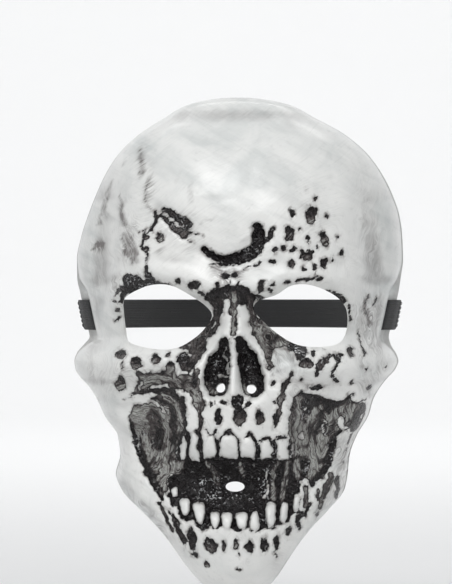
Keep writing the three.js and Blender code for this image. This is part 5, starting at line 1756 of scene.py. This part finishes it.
def stage_mesh():
    """Floor and backdrop in one round dish: its profile is flat, then a quarter circle, then
    upright, and is turned round the upright axis."""
    floor, radius, flat = STAGE["floor"], STAGE["radius"], STAGE["flat"]
    turn = np.linspace(0, np.pi / 2, 16)[1:]
    r = np.concatenate([np.linspace(0.0, flat, 7)[1:], flat + radius * np.sin(turn), [flat + radius]])
    top = floor + radius + STAGE["wall"]
    z = np.concatenate([np.full(6, floor), floor + radius * (1 - np.cos(turn)), [top]])
    angle = np.linspace(0, 2 * np.pi, STAGE["sides"], endpoint=False)
    x, y = r[:, None] * np.cos(angle), r[:, None] * np.sin(angle)
    ring = np.stack([x, y, np.broadcast_to(z[:, None], x.shape)], axis=2).reshape(-1, 3)
    index = np.arange(x.size).reshape(x.shape)
    sides = tube_faces(index)[:-2]
    middle = [[i, j, x.size] for i, j in zip(index[0].tolist(), np.roll(index[0], -1).tolist())]
    return mesh_object("studio_floor", np.vstack([ring, [[0.0, 0.0, floor]]]), sides + middle)


def studio_paper(colours):
    """Pale matt paper."""
    finish = Finish("studio_paper")
    grain = finish.noise(finish.place(), 40.0, 2.0)
    colour = finish.blend(grain * 0.1, rgba(colours.studio), rgba(colours.studio, 0.92))
    return finish.surface(Base_Color=colour, Roughness=0.9)


def add_light(name, location, target, size, power):
    """Rectangular lamp at a place, turned so that it shines at its target."""
    data = bpy.data.lights.new(name, "AREA")
    data.shape = "RECTANGLE"
    data.size, data.size_y = size
    data.energy = power
    light = bpy.data.objects.new(name, data)
    light.location = location
    light.rotation_euler = (Vector(target) - Vector(location)).to_track_quat("-Z", "Y").to_euler()
    bpy.context.scene.collection.objects.link(light)


def add_camera():
    """Camera at VIEW's distance in front, turned about the upright axis and moved aside and up."""
    turn, away, aside = math.radians(VIEW["turn"]), VIEW["away"] * MM, VIEW["aside"] * MM
    data = bpy.data.cameras.new("photo_view")
    data.sensor_fit = "VERTICAL"
    data.sensor_height = SENSOR
    data.lens = SENSOR * FOCAL_LENGTH / PICTURE_HEIGHT
    data.clip_end = 20.0
    camera = bpy.data.objects.new("photo_view", data)
    x = away * math.sin(turn) + aside * math.cos(turn)
    y = -away * math.cos(turn) + aside * math.sin(turn)
    camera.location = (x, y, VIEW["level"] * MM)
    camera.rotation_euler = (math.pi / 2, 0, turn)
    bpy.context.scene.collection.objects.link(camera)
    bpy.context.scene.camera = camera


class MASK_OT_shell(bpy.types.Operator):
    """Build the painted shell"""

    bl_idname = "mask.shell"
    bl_label = "Painted shell"

    def execute(self, context):
        shell = shell_mesh(context.scene.mask_sizes)
        shell.data.materials.append(painted_plastic(context.scene.mask_colours))
        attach(shell, "root")
        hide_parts("mask_shell")
        return {"FINISHED"}


class MASK_OT_strap(bpy.types.Operator):
    """Build the elastic strap and its sewing"""

    bl_idname = "mask.strap"
    bl_label = "Elastic strap"

    def execute(self, context):
        sizes, colours = context.scene.mask_sizes, context.scene.mask_colours
        strap = strap_mesh(sizes)
        strap.data.materials.append(woven_elastic(colours))
        stitches = stitch_mesh(sizes)
        stitches.data.materials.append(sewing_thread(colours))
        for piece in (strap, stitches):
            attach(piece, "root")
        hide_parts("elastic_band")
        return {"FINISHED"}


class MASK_OT_stage(bpy.types.Operator):
    """Build the floor, the lights and the camera"""

    bl_idname = "mask.stage"
    bl_label = "Studio"

    def execute(self, context):
        floor = stage_mesh()
        floor.data.materials.append(studio_paper(context.scene.mask_colours))

        world = bpy.data.worlds.new("Studio")
        context.scene.world = world
        world.use_nodes = True
        background = world.node_tree.nodes["Background"]
        background.inputs["Color"].default_value = SKY
        background.inputs["Strength"].default_value = SKY_STRENGTH
        context.scene.view_settings.view_transform = "Standard"
        for light in LIGHTS:
            add_light(**light)
        add_camera()
        return {"FINISHED"}


class MASK_PT_panel(bpy.types.Panel):
    """Lists the sizes, the colours and the pieces"""

    bl_idname = "MASK_PT_panel"
    bl_label = "Skull Mask"
    bl_space_type = "VIEW_3D"
    bl_region_type = "UI"
    bl_category = "Skull Mask"

    def draw(self, context):
        for group in (context.scene.mask_sizes, context.scene.mask_colours):
            box = self.layout.box()
            for key in group.bl_rna.properties.keys():
                if key not in ("rna_type", "name"):
                    box.prop(group, key)
        for operator in OPERATORS:
            self.layout.operator(operator.bl_idname)


OPERATORS = (MASK_OT_shell, MASK_OT_strap, MASK_OT_stage)
CLASSES = (MaskSizes, MaskColours, *OPERATORS, MASK_PT_panel)


def register():
    """Registers the classes and hangs the sizes and colours on the scene."""
    for cls in CLASSES:
        bpy.utils.register_class(cls)
    bpy.types.Scene.mask_sizes = bpy.props.PointerProperty(type=MaskSizes)
    bpy.types.Scene.mask_colours = bpy.props.PointerProperty(type=MaskColours)


def unregister():
    """Takes back what register did."""
    del bpy.types.Scene.mask_colours
    del bpy.types.Scene.mask_sizes
    for cls in reversed(CLASSES):
        bpy.utils.unregister_class(cls)


def main():
    """Builds the pieces and the studio."""
    register()
    bpy.ops.mask.shell()
    bpy.ops.mask.strap()
    bpy.ops.mask.stage()


if __name__ == "__main__":
    main()
